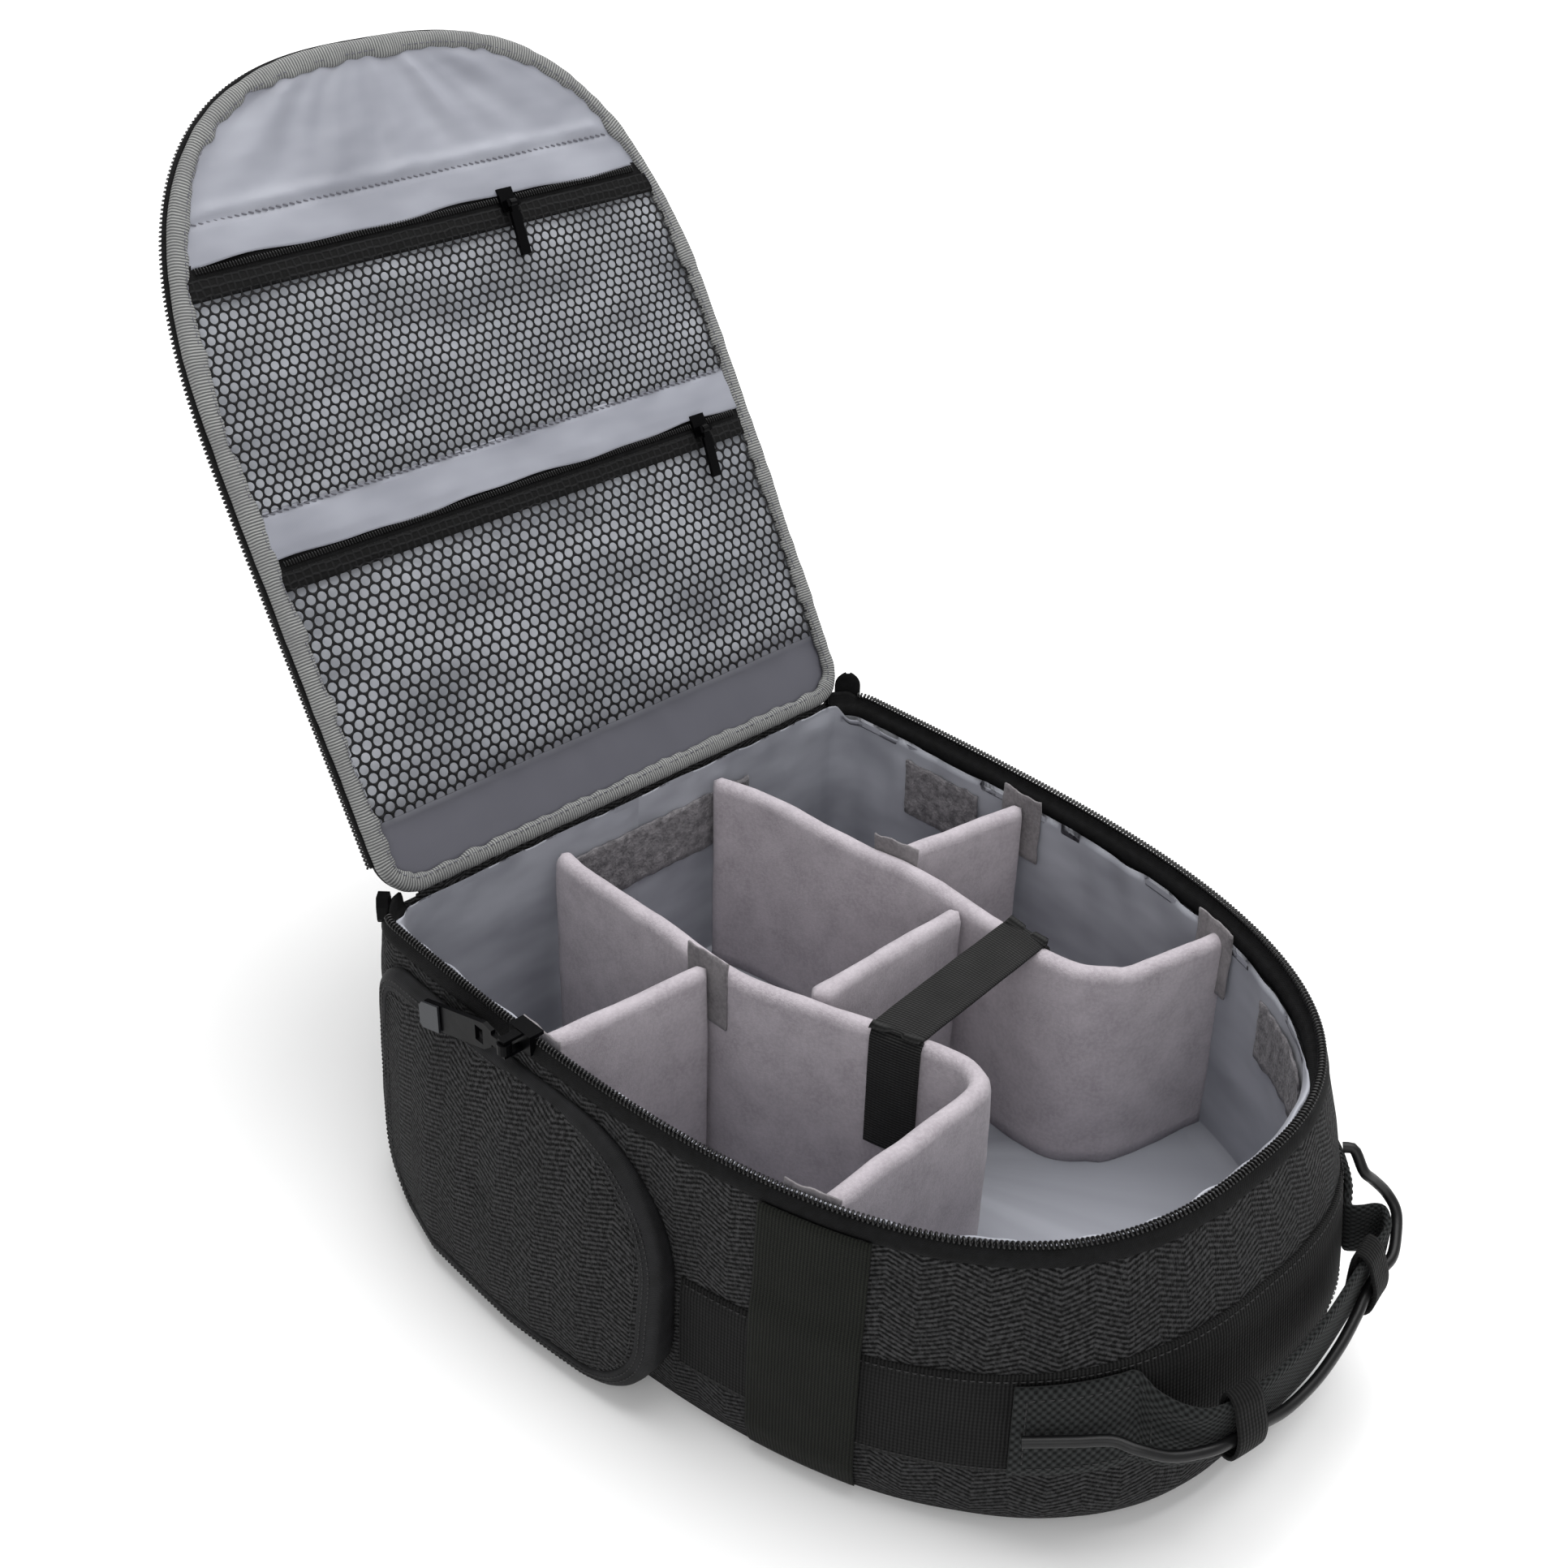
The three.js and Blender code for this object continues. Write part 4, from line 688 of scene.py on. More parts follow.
backPanel = {
    "level": 14, "inset": 10.2, "centre": (0, 10, 0),
    "rings": [  # share of the way to the edge, height: the inner face, the edge, the sewn groove
        (0.01, 17.6), (0.3, 17.8), (0.7, 17.8), (0.93, 17.6), (0.985, 16.8), (1, 14.5), (1, 11.5),
        (0.985, 9.4), (0.94, 8.4), (0.75, 8), (0.6, 8.1), (0.57, 9.6), (0.53, 9.6), (0.5, 8.1), (0.3, 8),
        (0.01, 8),
    ],
}


def makeBackPanel():
    edge = wallAt(ringAll[::2], backPanel["level"], -backPanel["inset"], True)
    centre = np.array(backPanel["centre"])
    rows = []
    for share, z in backPanel["rings"]:
        ring = centre + (edge - centre) * share
        ring[:, 2] = z
        rows.append(ring)
    piece = surface("back_panel_pad", rows, ringAcross=True, caps=True, plan=lambda p: p[..., :2])
    dress(piece, "mesh", "herringbone", "back_panel")


shoulder = {"x": 70, "y": 22, "z": 3.8, "half": 132.5, "wide": 30.8, "high": 3.55, "roundFrom": 0.86}


def makeShoulderStrap(name, side):
    angle = np.linspace(0, 2 * math.pi, 28, endpoint=False)
    across = np.sign(np.cos(angle)) * np.abs(np.cos(angle)) ** 0.35
    over = np.sign(np.sin(angle)) * np.abs(np.sin(angle)) ** 0.6
    rows = []
    for end in np.linspace(-1, 1, 60):
        past = max(0, (abs(end) - shoulder["roundFrom"]) / (1 - shoulder["roundFrom"]))
        wide = shoulder["wide"] * (0.55 + 0.45 * math.sqrt(max(0.0, 1 - past ** 2)))
        high = shoulder["high"] * max(0.12, min(1.0, (1 - abs(end)) * 14) ** 0.5)
        x = side * shoulder["x"] + wide * across
        y = np.full(len(angle), shoulder["y"] + shoulder["half"] * end)
        rows.append(np.stack([x, y, shoulder["z"] + high * over], 1))
    piece = surface(f"shoulder_pad_{name}", rows, ringAcross=True, caps=True)
    dress(piece, "mesh", "herringbone", f"shoulder_strap_{name}")


tray = {
    "centre": (0, 10, 19.6), "floor": 19.6, "gap": 9.6,
    "shares": (0.001, 0.25, 0.5, 0.75, 0.92),  # the floor's rings, from its middle to its edge
    "levels": (19.6, 21, 26, 34, 44, 54, 64, 74, 84, 93, 101, 108, 114, 119, 123.5),
    "lip": [  # height, out, share of the waves
        (127, -8.4, 0.45), (129.2, -6.9, 0.8), (130.3, -5.9, 1), (130.2, -5.0, 1), (127.5, -4.8, 0.6),
    ],
    "rightDrop": 8.5,  # the tape's inner face shows on the right, so the satin ends lower there
}


def makeLining():
    s = ringAll
    centre = np.array(tray["centre"])
    edge = wallAt(s, tray["floor"], -tray["gap"], True)
    columns = [centre + (edge - centre) * share for share in tray["shares"]]
    for z in tray["levels"]:
        base = wallAt(s, z, -tray["gap"], True)
        fold = swirl(base * (1, 1, 0.35), 15, 5.5) * 1.3 + swirl(base, 38, 1.3) * 1.1
        loose = np.clip((z - 40) / 60, 0, 1)
        columns.append(wallAt(s, z, -tray["gap"] - 0.1 - np.clip(fold, -0.1, 2.4) * loose, True))
    flat = wallAt(s, 0) * (1, 1, 0)
    wave, slow = swirl(flat, 13, 9.2), swirl(flat, 34, 2.2)
    right = smoothStep((openingOut[:, 0] - 0.3) / 0.55)
    fold = (1 - smoothStep((openingOut[:, 1] - 0.3) / 0.4)) * (1 - right) ** 2  # how far it lies over the rim
    for z, out, keep in tray["lip"]:
        lie = -tray["gap"] + (out + tray["gap"]) * fold - 0.2 - np.clip(wave, -0.1, 1) * 1.2 * keep
        rise = z - tray["rightDrop"] * right + (0.9 * wave + 0.7 * slow) * keep
        columns.append(wallAt(s, rise, lie, True))

    def plan(p):
        around = np.broadcast_to(np.linspace(0, aroundAll, len(p))[:, None], p.shape[:2])
        return np.stack([around, p[..., 2]], 2)

    piece = surface("satin_tray", np.stack(columns, 1), ringAlong=True, plan=plan)
    dress(piece, "traySatinPaintedLight", "satin", "inner_lining")


makeWall()
makeBackPanel()
makeShoulderStrap("left", -1)
makeShoulderStrap("right", 1)
makeLining()
print("wall, back and lining made")


# The body's half of the main zip

rimZip = {
    "start": 146.0, "under": 18, "cornerRise": 2.4, "thick": 0.7,
    "profile": [  # out, height: up the outer face, over the edge, down the inner face
        (-0.3, 124.6), (0.1, 126), (-0.4, 127.4), (-1.1, 128.6), (-1.9, 129.8), (-2.5, 130.9), (-3.9, 131.2),
        (-4.5, 130), (-5.3, 128.5), (-6.6, 127.5), (-7.8, 126.5), (-8.3, 124.6), (-8.4, 121.5),
    ],
    "coilOut": -3.1, "coilHeight": 132.15, "pitch": 1.9, "coilHalf": (1.45, 0.95), "wire": 0.56,
}


def makeRimZip():
    start, under = rimZip["start"], rimZip["under"]
    s = np.linspace(start - under, aroundAll - start + under, 460)
    fromCorner = np.minimum(s, aroundAll - s) - start
    rise = rimZip["cornerRise"] * np.clip(-fromCorner / 5, 0, 1)  # up to the corner pieces
    rows = []
    for out, z in rimZip["profile"]:
        rough = 0.18 * swirl(wallAt(s, z), 12, 4.4)
        rows.append(wallAt(s, z + rise * (z > 129), out + rough))
    piece = surface("rim_tape_cloth", np.stack(rows, 1), heart=heart)
    thicken(dress(piece, "tape", "tape", "rim_zip_tape"), rimZip["thick"])
    s = np.linspace(start, aroundAll - start, 420)
    line = wallAt(s, rimZip["coilHeight"], rimZip["coilOut"])
    coil("rim_coil", "rim_zip_teeth", line, wallOut(s), (0.0, 0.0, 1.0), rimZip["pitch"], rimZip["coilHalf"],
         rimZip["wire"])


makeRimZip()


# Band, elastic and their stitches

band = {"level": 46, "rise": 20, "wide": 46, "thick": 1.4, "out": 0.4, "from": 125, "to": 203, "wave": 0.15,
        "seam": 2.2, "stitch": (2.1, 3.0, 0.28)}
elastic = {"from": 235, "to": 277, "low": 3, "high": 125.2, "out": 2.2, "thick": 1.4, "wave": 0.1, "hug": 1.5,
           "seamLevel": 5.5, "stitch": (2.0, 2.8, 0.26)}


def bandMiddle(s):
    return band["level"] + band["rise"] * np.maximum(0, -wallOut(np.asarray(s, float))[..., 1]) ** 1.5


def strip(name, s, low, high, d, columns, hug=0.0):  # hug: how much nearer it lies off the band
    rows = []
    for share in np.linspace(0, 1, columns):
        z = low + (high - low) * share
        thinEdge = 0.45 if min(share, 1 - share) * (columns - 1) < 1 else 0
        ripple = d["wave"] * swirl(wallAt(s, z), 26, 6.1)
        near = hug * smoothStep((np.abs(z - band["level"]) - 27) / 16)
        rows.append(wallAt(s, z, d["out"] + d["thick"] - thinEdge + ripple - near))
    return thicken(surface(name, np.stack(rows, 1), heart=heart), d["thick"])


def makeBand():
    s = np.linspace(band["from"], leftAt(band["to"]), 300)
    low, high = bandMiddle(s) - band["wide"] / 2, bandMiddle(s) + band["wide"] / 2
    dress(strip("band_webbing", s, low, high, band, 14), "webbing", "webbing", "webbing_band")
    for name, z in [("band_stitch_low", low + band["seam"]), ("band_stitch_high", high - band["seam"])]:
        line = wallAt(s, z, band["out"] + band["thick"])
        sew(name, line, wallOut(s), band["stitch"], "darkThread", "webbing")


def makeElastic():
    s = np.linspace(leftAt(elastic["to"]), leftAt(elastic["from"]), 24)
    piece = strip("side_elastic_strap", s, elastic["low"], elastic["high"], elastic, 40, elastic["hug"])
    dress(piece, "elastic", "elastic", "side_elastic")
    line = wallAt(s, elastic["seamLevel"], elastic["out"] + elastic["thick"] - elastic["hug"])
    sew("elastic_stitch", line, wallOut(s), elastic["stitch"], "darkThread", "elastic")


makeBand()
makeElastic()
print("rim zip, band and elastic made")


# Side pocket. Its outline lies on the wall: distance from the hinge end, height.

pocket = {
    "from": 21, "to": 199, "low": 5, "high": 118, "radii": (28, 34, 52, 14), "proudTop": 3, "proudLow": 19,
    "pillow": 4, "thick": 2, "off": 0.4,
    "stands": ([0, 0.3, 0.6, 1], [0.12, 0.9, 1, 0.72]),  # how proud it stands along its length
    "panelShares": (0.001, 0.15, 0.3, 0.45, 0.6, 0.72, 0.82, 0.88, 0.92, 0.95, 0.98),
    "panelEdge": [(-0.6, 1.9), (0.1, 1.2), (0.25, 0.5), (0, -0.1)],  # past the outline, out
    "border": [  # share of the stand, past the outline, lift: the wall, the outer edge, the face
        (0, 0.4, 0), (0.15, 1.4, 0), (0.35, 1.7, 0), (0.55, 1.7, 0), (0.75, 1.7, 0), (0.92, 1.6, 0),
        (1, 1.2, 0.9), (1, 0.2, 2.2), (1, -1.2, 3.1), (1, -2.6, 3.5), (1, -4.2, 3.8), (1, -5.6, 4.0),
        (1, -6.6, 3.9), (1, -7.1, 3.2), (1, -7.2, 2.2),
    ],
    "seams": [  # name, past the outline, lift, stitch size, slot
        ("pocket_stitch_out", -2.2, 3.5, (1.5, 2.2, 0.3), "tape"),
        ("pocket_stitch_in", -4.6, 3.95, (1.5, 2.2, 0.3), "tape"),
    ],
    "panelSeam": (8.6, 3.7, (2.2, 3.2, 0.25)),  # inset, lift, stitch size
}


def pocketOutline(count=220):
    a, b, low, high = pocket["from"], pocket["to"], pocket["low"], pocket["high"]
    quarter = math.pi / 2
    places = [(a, low, 1, 1, 2 * quarter), (b, low, -1, 1, -quarter), (b, high, -1, -1, 0),
              (a, high, 1, -1, quarter)]  # corner, the ways to its arc's middle, the arc's start
    points = []
    for (along, z, right, up, start), radius in zip(places, pocket["radii"]):
        turn = start + np.linspace(0, quarter, 24)
        points.append(np.c_[along + radius * (right + np.cos(turn)), z + radius * (up + np.sin(turn))])
    return evenLoop(np.concatenate(points), count)[0]


def pocketProud(p):
    down = np.clip((pocket["high"] - p[:, 1]) / (pocket["high"] - pocket["low"]), 0, 1)
    along = np.clip((p[:, 0] - pocket["from"]) / (pocket["to"] - pocket["from"]), 0, 1)
    stand = np.interp(along, *pocket["stands"])
    return pocket["proudTop"] + (pocket["proudLow"] - pocket["proudTop"]) * down ** 0.8 * stand


def onPocket(p, out):
    return wallAt(leftAt(p[:, 0]), p[:, 1], out)


def makePocketPanel(edge, normals):
    centre = np.array([(pocket["from"] + pocket["to"]) / 2, (pocket["low"] + pocket["high"]) / 2])
    rows = []
    for share in pocket["panelShares"]:
        p = centre + (edge - centre) * share
        puff = pocket["thick"] + pocket["pillow"] * (1 - share ** 3.2) + 0.5 * swirl(onPocket(p, 0), 30, 8.8)
        rows.append(onPocket(p, pocketProud(p) + pocket["off"] + puff))
    for grow, out in pocket["panelEdge"]:
        p = edge + normals * grow
        rows.append(onPocket(p, pocketProud(p) + pocket["off"] + out))
    piece = surface("pocket_panel", np.stack(rows, 1), ringAlong=True, heart=heart, plan=lambda q: q[..., 1:])
    thicken(dress(piece, "herringbone", "herringbone", "side_pocket"), 1.5)


def makePocketBorder(edge, normals):
    proud = pocketProud(edge)
    rows = []
    for share, grow, lift in pocket["border"]:
        p = edge + normals * grow
        ripple = 0.18 * swirl(onPocket(p, 0), 14, 3.3)
        rows.append(onPocket(p, pocket["off"] + (proud - pocket["off"]) * share + lift + ripple))
    piece = surface("pocket_border", np.stack(rows, 1), ringAlong=True, heart=heart)
    thicken(dress(piece, "border", "tape", "side_pocket_gusset"), 1.2)
    for name, grow, lift, stitch, slot in pocket["seams"]:
        p = edge + normals * grow
        sew(name, onPocket(p, proud + lift), wallOut(leftAt(p[:, 0])), stitch, "darkThread", slot,
            closed=True)
    inset, lift, stitch = pocket["panelSeam"]
    p = edge - normals * inset
    sew("pocket_panel_stitch", onPocket(p, pocketProud(p) + lift), wallOut(leftAt(p[:, 0])), stitch,
        "darkThread", "herringbone", closed=True)


pocketEdge = pocketOutline()
makePocketPanel(pocketEdge, outward(pocketEdge))
makePocketBorder(pocketEdge, outward(pocketEdge))
print("side pocket made")


# Haul handle, its cord and keepers

# across is a share of the half length, out a share of the reach, wide a share from middle to end width
handle = {
    "half": 100, "reach": 14, "endWide": 41, "middleWide": 23, "thick": 3, "out": 2.6, "level": 58,
    "freeRise": 2,
    "left": [  # across, wide
        (-1, 1), (-0.95, 1), (-0.9, 1), (-0.85, 1), (-0.79, 1), (-0.72, 1), (-0.66, 0.9),
    ],
    "free": [  # across, out, wide
        (-0.632, -0.45, 0.7), (-0.585, 0.2, 0.4), (-0.49, 0.68, 0.15), (-0.27, 0.93, 0), (0, 0.9, 0),
        (0.21, 0.71, 0), (0.48, 0.32, 0), (0.62, 0.11, 0), (0.74, 0, 0), (0.81, -0.24, 0), (0.845, -0.52, 0),
        (0.83, -0.72, 0), (0.79, -0.88, 0), (0.757, -1.08, 0), (0.755, -1.27, 0.1),
    ],
    "right": [(0.8, 0.3), (0.86, 0.55), (0.93, 0.6), (1, 0.6)],  # across, wide
    "boxes": [("handle_stitch_left", 4, 44), ("handle_stitch_right", 196, 216)],  # from and to on the line
    "boxHalf": 0.78, "stitch": (2.4, 3.4, 0.3), "stitchOut": 1.6,
}
handleFront = wallAt(aroundAll / 2, handle["level"], handle["out"])[1]


def onBand(across, up, out):  # a place over the band, that far out of the handle's middle
    s = archAt(across * handle["half"], handle["level"], handle["out"])
    return wallAt(s, bandMiddle(s) + up, handle["out"] + handle["thick"] / 2 + out)


def handleStations():
    stations = [[*onBand(across, 0, 0), wide, 1] for across, wide in handle["left"]]
    for across, out, wide in handle["free"]:
        stations.append([across * handle["half"], handleFront - out * handle["reach"],
                         handle["level"] + handle["freeRise"], wide, min(1, max(0, -out))])
    stations += [[*onBand(across, 0, 0), wide, 1] for across, wide in handle["right"]]
    return np.array(stations, float)


handleLine = smoothLine(handleStations(), 220)  # x, y, z, wide, lean
handleAcross = np.gradient(handleLine[:, :2], axis=0)
handleAcross = unit(np.c_[handleAcross[:, 1], -handleAcross[:, 0], 0 * handleAcross[:, 0]])


def onHandle(across, out, up):  # a place on the free part
    free = np.arange(40, 170)
    i = free[np.argmin(np.abs(handleLine[free, 0] - across * handle["half"]))]
    return handleLine[i, :3] + handleAcross[i] * out + (0, 0, up)


def offHandle(i, v, away, lean):  # v runs from -1 to 1 across the strap, away out of its middle
    x, y, z, wide = handleLine[i, :4]
    half = (handle["middleWide"] + (handle["endWide"] - handle["middleWide"]) * wide) / 2
    s = archAt(np.clip(x, -handle["half"], handle["half"]), handle["level"], handle["out"])
    slope = (wallAt(s, z + v * half, handle["out"]) - wallAt(s, z, handle["out"])) * lean
    return np.array([x, y, z + v * half]) + handleAcross[i] * away + slope * (1, 1, 0)


def makeHandle():
    over = np.linspace(-1, 1, 13)
    section = [(v, 1) for v in over] + [(v, -1) for v in over[::-1]]
    rows = []
    for i in range(len(handleLine)):
        row = []
        for v, face in section:
            thinEdge = 1 - 0.5 * max(0, abs(v) - 0.85) / 0.15
            gather = 0.5 * math.sin(v * 9 + 1) * math.exp(-((i - 52) / 9) ** 2)
            row.append(offHandle(i, v, face * handle["thick"] / 2 * thinEdge + gather, handleLine[i, 4]))
        rows.append(row)
    piece = surface("handle_webbing", rows, ringAcross=True, caps=True)
    dress(piece, "basket", "webbing", "handle_strap")
    for name, low, high in handle["boxes"]:
        side = handle["boxHalf"]
        corners = [(low, -side), (high, -side), (high, side), (low, side), (low, -side)]
        line, ups = [], []
        for (fromI, fromV), (toI, toV) in zip(corners, corners[1:]):
            for share in np.linspace(0, 1, 16):
                i = int(round(fromI + (toI - fromI) * share))
                line.append(offHandle(i, fromV + (toV - fromV) * share, handle["stitchOut"], 1))
                ups.append(handleAcross[i])
        sew(name, np.array(line), np.array(ups), handle["stitch"], "darkThread", "webbing")


cord = {
    "radius": 2.25, "off": 4.05,
    "route": [  # across, out of the strap's face, height over its middle
        (-0.98, 1.2, 1), (-0.86, 1.2, 0), (-0.76, 2.5, -1), (-0.69, 8, -2), (-0.6, 4, -2), (-0.52, 1, -2),
        (-0.43, 0.2, -3), (-0.33, 0.2, -3), (-0.15, 0.8, -7), (0.05, 1, -8), (0.25, 0.8, -8), (0.42, 0.4, -6),
        (0.5, 0, -3), (0.62, 0, -1), (0.72, 0.6, 0),
    ],
    "climb": [  # across, out as a share of the handle's reach, height
        (0.82, 0.06, 63), (0.89, -0.33, 68), (0.89, -0.74, 74), (0.84, -1.03, 81), (0.79, -1.2, 87),
    ],
    "end": (76, 94),  # x and height of the place where it goes into the wall
}


def makeCord():
    route = []
    for across, out, up in cord["route"]:
        if across < -0.7:
            route.append(onBand(across, up, cord["off"] + out))
        else:
            route.append(onHandle(across, cord["off"] + out, up))
    route += [(a * handle["half"], handleFront - out * handle["reach"], z) for a, out, z in cord["climb"]]
    s = archAt(*cord["end"], 0)
    route += [wallAt(s, cord["end"][1], out * cord["radius"]) for out in (3, 1)]
    line = smoothLine(route, 140)
    curve = bpy.data.curves.new("handle_rubber_cord", "CURVE")
    curve.dimensions = "3D"
    curve.bevel_depth = cord["radius"] / 1000
    curve.bevel_resolution = 4
    curve.use_fill_caps = True
    spline = curve.splines.new("POLY")
    spline.points.add(len(line) - 1)
    spline.points.foreach_set("co", np.c_[toRow(line), np.ones(len(line))].ravel())
    spline.use_smooth = True
    piece = bpy.data.objects.new("handle_rubber_cord", curve)
    bpy.context.scene.collection.objects.link(piece)
    dress(piece, "rubber", "rubber", "handle_cord")


keeper = {"near": -0.38, "far": 0.56, "half": 6.5, "over": 1.2, "thick": 1.4}


def makeKeeper(name):
    high = handle["middleWide"] / 2 + keeper["over"]
    corners = [(-2.6, -high), (-2.6, high), (2, high), (4.6, high * 0.55), (6.9, 0), (6.9, -high / 2),
               (5.2, -high * 0.85), (2, -high)]  # round strap and cord: out, up
    ring = smoothLine([(*c, 0) for c in corners + corners[:1]], 41)[:-1, :2]
    rows = []
    for step in np.linspace(-keeper["half"], keeper["half"], 9):
        rows.append([onHandle(keeper[name] + step / handle["half"], out, up) for out, up in ring])
    piece = surface(f"keeper_loop_{name}", rows, ringAcross=True, heart=onHandle(keeper[name], 1, 0))
    thicken(dress(piece, "webbing", "webbing", f"handle_keeper_{name}"), keeper["thick"], 1.0)


makeHandle()
makeCord()
makeKeeper("near")
makeKeeper("far")
print("handle made")


# The lid, in its own plane: x across, t up from the hinge, h out of its inner face

lid = {
    "half": 134.7, "hingeHalf": 134, "corner": 18, "straight": 175, "length": 347.4, "power": 2.8,
    "hingeY": 171, "hingeZ": 133, "tilt": math.radians(59.8),
    "inset": 5.2,  # the sheets end under the binding
}
lidLoop, lidAround = dOutline(lid, 460)
lidOut = outward(lidLoop)
faceLoop = lidLoop - lidOut * lid["inset"]
lidUp = np.array([0, math.cos(lid["tilt"]), math.sin(lid["tilt"])])
lidFront = np.array([0, -math.sin(lid["tilt"]), math.cos(lid["tilt"])])


def onLid(x, t, h):
    x, t, h = np.broadcast_arrays(*[np.asarray(v, float) for v in (x, t, h)])
    middle = np.stack([x, 0 * x + lid["hingeY"], 0 * x + lid["hingeZ"]], -1)
    return middle + t[..., None] * lidUp + h[..., None] * lidFront


behindLid = onLid(0, 150, -60)


def faceHalf(t):  # half width of the face inside the binding
    right = faceLoop[:len(faceLoop) // 2 + 1]
    right = right[np.argsort(right[:, 1])]
    lowest = right[:, 1] <= right[0, 1] + 0.3
    right[lowest, 0] = right[lowest, 0].max()
    return np.interp(t, right[:, 1], right[:, 0])


def lidRing(out, h, share=1.0):
    out, h = np.broadcast_to(out, len(lidLoop)), np.broadcast_to(h, len(lidLoop))
    centre = np.array([0, lid["length"] * 0.45])
    p = centre + (lidLoop + lidOut * out[:, None] - centre) * share
    return onLid(p[:, 0], p[:, 1], h)


def lidPlan(p):  # cloth coordinates in the lid's plane, kept above zero
    t = (p[..., 1] - lid["hingeY"]) * lidUp[1] + (p[..., 2] - lid["hingeZ"]) * lidUp[2]
    return np.stack([p[..., 0] + 200, t], 2)


lidBack = {
    "outer": [(0, -9.3, 0.03), (0, -9.3, 0.25), (0, -9.1, 0.5)],  # past the outline, h, share of the size
    "edge": [(-1.6, -7.4), (-0.4, -6.4), (0, -5), (0, -4), (-1, -3.1)],  # past the outline, h
    "inner": [(-20, -3, 1), (0, -3, 0.4), (0, -3, 0.03)],
    "foot": 3.6, "footHalf": 118,  # it reaches further down between the hinge's corners
}


def makeLidBack():
    atHinge = (lidLoop[:, 1] < 3) & (np.abs(lidLoop[:, 0]) < lidBack["footHalf"])
    foot = np.where(atHinge, lidBack["foot"], 0)
    rows = [lidRing(*ring) for ring in lidBack["outer"]]
    rows += [lidRing(0, -8.9 + 0.25 * swirl(lidRing(0, 0, 0.7), 40, 2.7), 0.7), lidRing(0, -8.3, 0.86)]
    rows += [lidRing(-4, -7.9)] + [lidRing(foot + out, h) for out, h in lidBack["edge"]]
    rows += [lidRing(*ring) for ring in lidBack["inner"]]
    piece = surface("lid_padding", rows, ringAcross=True, caps=True, plan=lidPlan)
    dress(piece, "herringbone", "herringbone", "lid_panel")


lidSatin = {
    "shares": (0.001, 0.1, 0.2, 0.3, 0.4, 0.5, 0.6, 0.7, 0.76, 0.82, 0.87, 0.91, 0.94, 0.97, 1),
    "inset": -3, "depth": -1.5, "thick": 0.6, "flat": (0.2634, 0.3414), "roundness": 0.93,
}


def makeLidLining():
    rows = []
    for share in lidSatin["shares"]:
        flat = lidRing(lidSatin["inset"], 0, share)
        fold = 0.5 * swirl(flat, 30, 6.6) + 0.35 * swirl(flat * (1, 0.5, 0.5), 11, 3.9)
        t = (flat[:, 2] - lid["hingeZ"]) / lidUp[2]
        gathers = 0.7 * swirl(flat * (1, 0.12, 0.12), 9, 1.9)
        fold += gathers * np.clip((60 - t) / 30, 0, 1)  # only over the hinge
        h = lidSatin["depth"] + np.clip(fold, -0.6, 0.8) * (1 - share ** 6)
        rows.append(flat + lidFront * h[:, None])
    piece = surface("lid_satin", rows, ringAcross=True, heart=behindLid, plan=lidPlan)
    thicken(dress(piece, "shadeSatin", "satin", "lid_lining"), lidSatin["thick"])


binding = {
    "section": [  # past the outline, h: from the back over the edge to the sewn inner edge
        (0, -3.4), (0.6, -2), (0.6, -0.6), (0.2, 0.9), (-0.8, 1.9), (-2.2, 2.3), (-3.6, 2.4), (-5, 2.2),
        (-6.2, 1.7), (-7, 0.8), (-7.2, -0.4), (-6, -0.9), (-3, -1), (-0.6, -3),
    ],
    "seam": (-5.4, 2.25), "stitch": (2.2, 3.2, 0.26),
}


def makeBinding():
    pucker, slow = swirl(lidRing(0, 0), 6.5, 2.5), swirl(lidRing(0, 0), 28, 8.1)
    sway = 0.35 * pucker + 0.45 * slow
    rows = []
    for out, h in binding["section"]:
        inner = max(0, (-out - 3.5) / 3.7)  # 1 at the inner edge, which wanders most
        out = out - inner * (pucker + 0.8 * slow) + (1 - inner) * 0.45 * sway
        rows.append(lidRing(out, h + inner * 0.6 * pucker + 0.6 * sway * (h > 0)))
    piece = surface("lid_edge_binding", np.stack(rows, 1), ringAlong=True, ringAcross=True)
    dress(piece, "binding", "binding", "lid_binding")
    line = lidRing(*binding["seam"])
    sew("binding_stitch", line, lidFront, binding["stitch"], "greyThread", "binding", closed=True)


lidZip = {
    "start": 142, "profile": [(0.3, -2.2), (1.5, -2.4), (1.9, -3.2), (1.9, -4.2), (1.0, -4.9), (0.1, -4.9)],
    "thick": 0.6, "coilOut": 1.2, "coilDepth": -6.0, "pitch": 1.9, "coilHalf": (0.6, 1.4), "wire": 0.5,
}


def makeLidZip():
    start = int(len(lidLoop) * lidZip["start"] / lidAround)
    part = slice(start, len(lidLoop) - start)
    rows = np.stack([lidRing(out, h)[part] for out, h in lidZip["profile"]], 1)
    piece = surface("lid_tape_cloth", rows, heart=onLid(0, 170, -3))
    thicken(dress(piece, "tape", "tape", "lid_zip_tape"), lidZip["thick"])
    line = lidRing(lidZip["coilOut"], lidZip["coilDepth"])[part]
    outs = lidRing(lidZip["coilOut"] + 1, lidZip["coilDepth"])[part] - line
    coil("lid_coil", "lid_zip_teeth", line, outs, lidFront, lidZip["pitch"], lidZip["coilHalf"],
         lidZip["wire"])


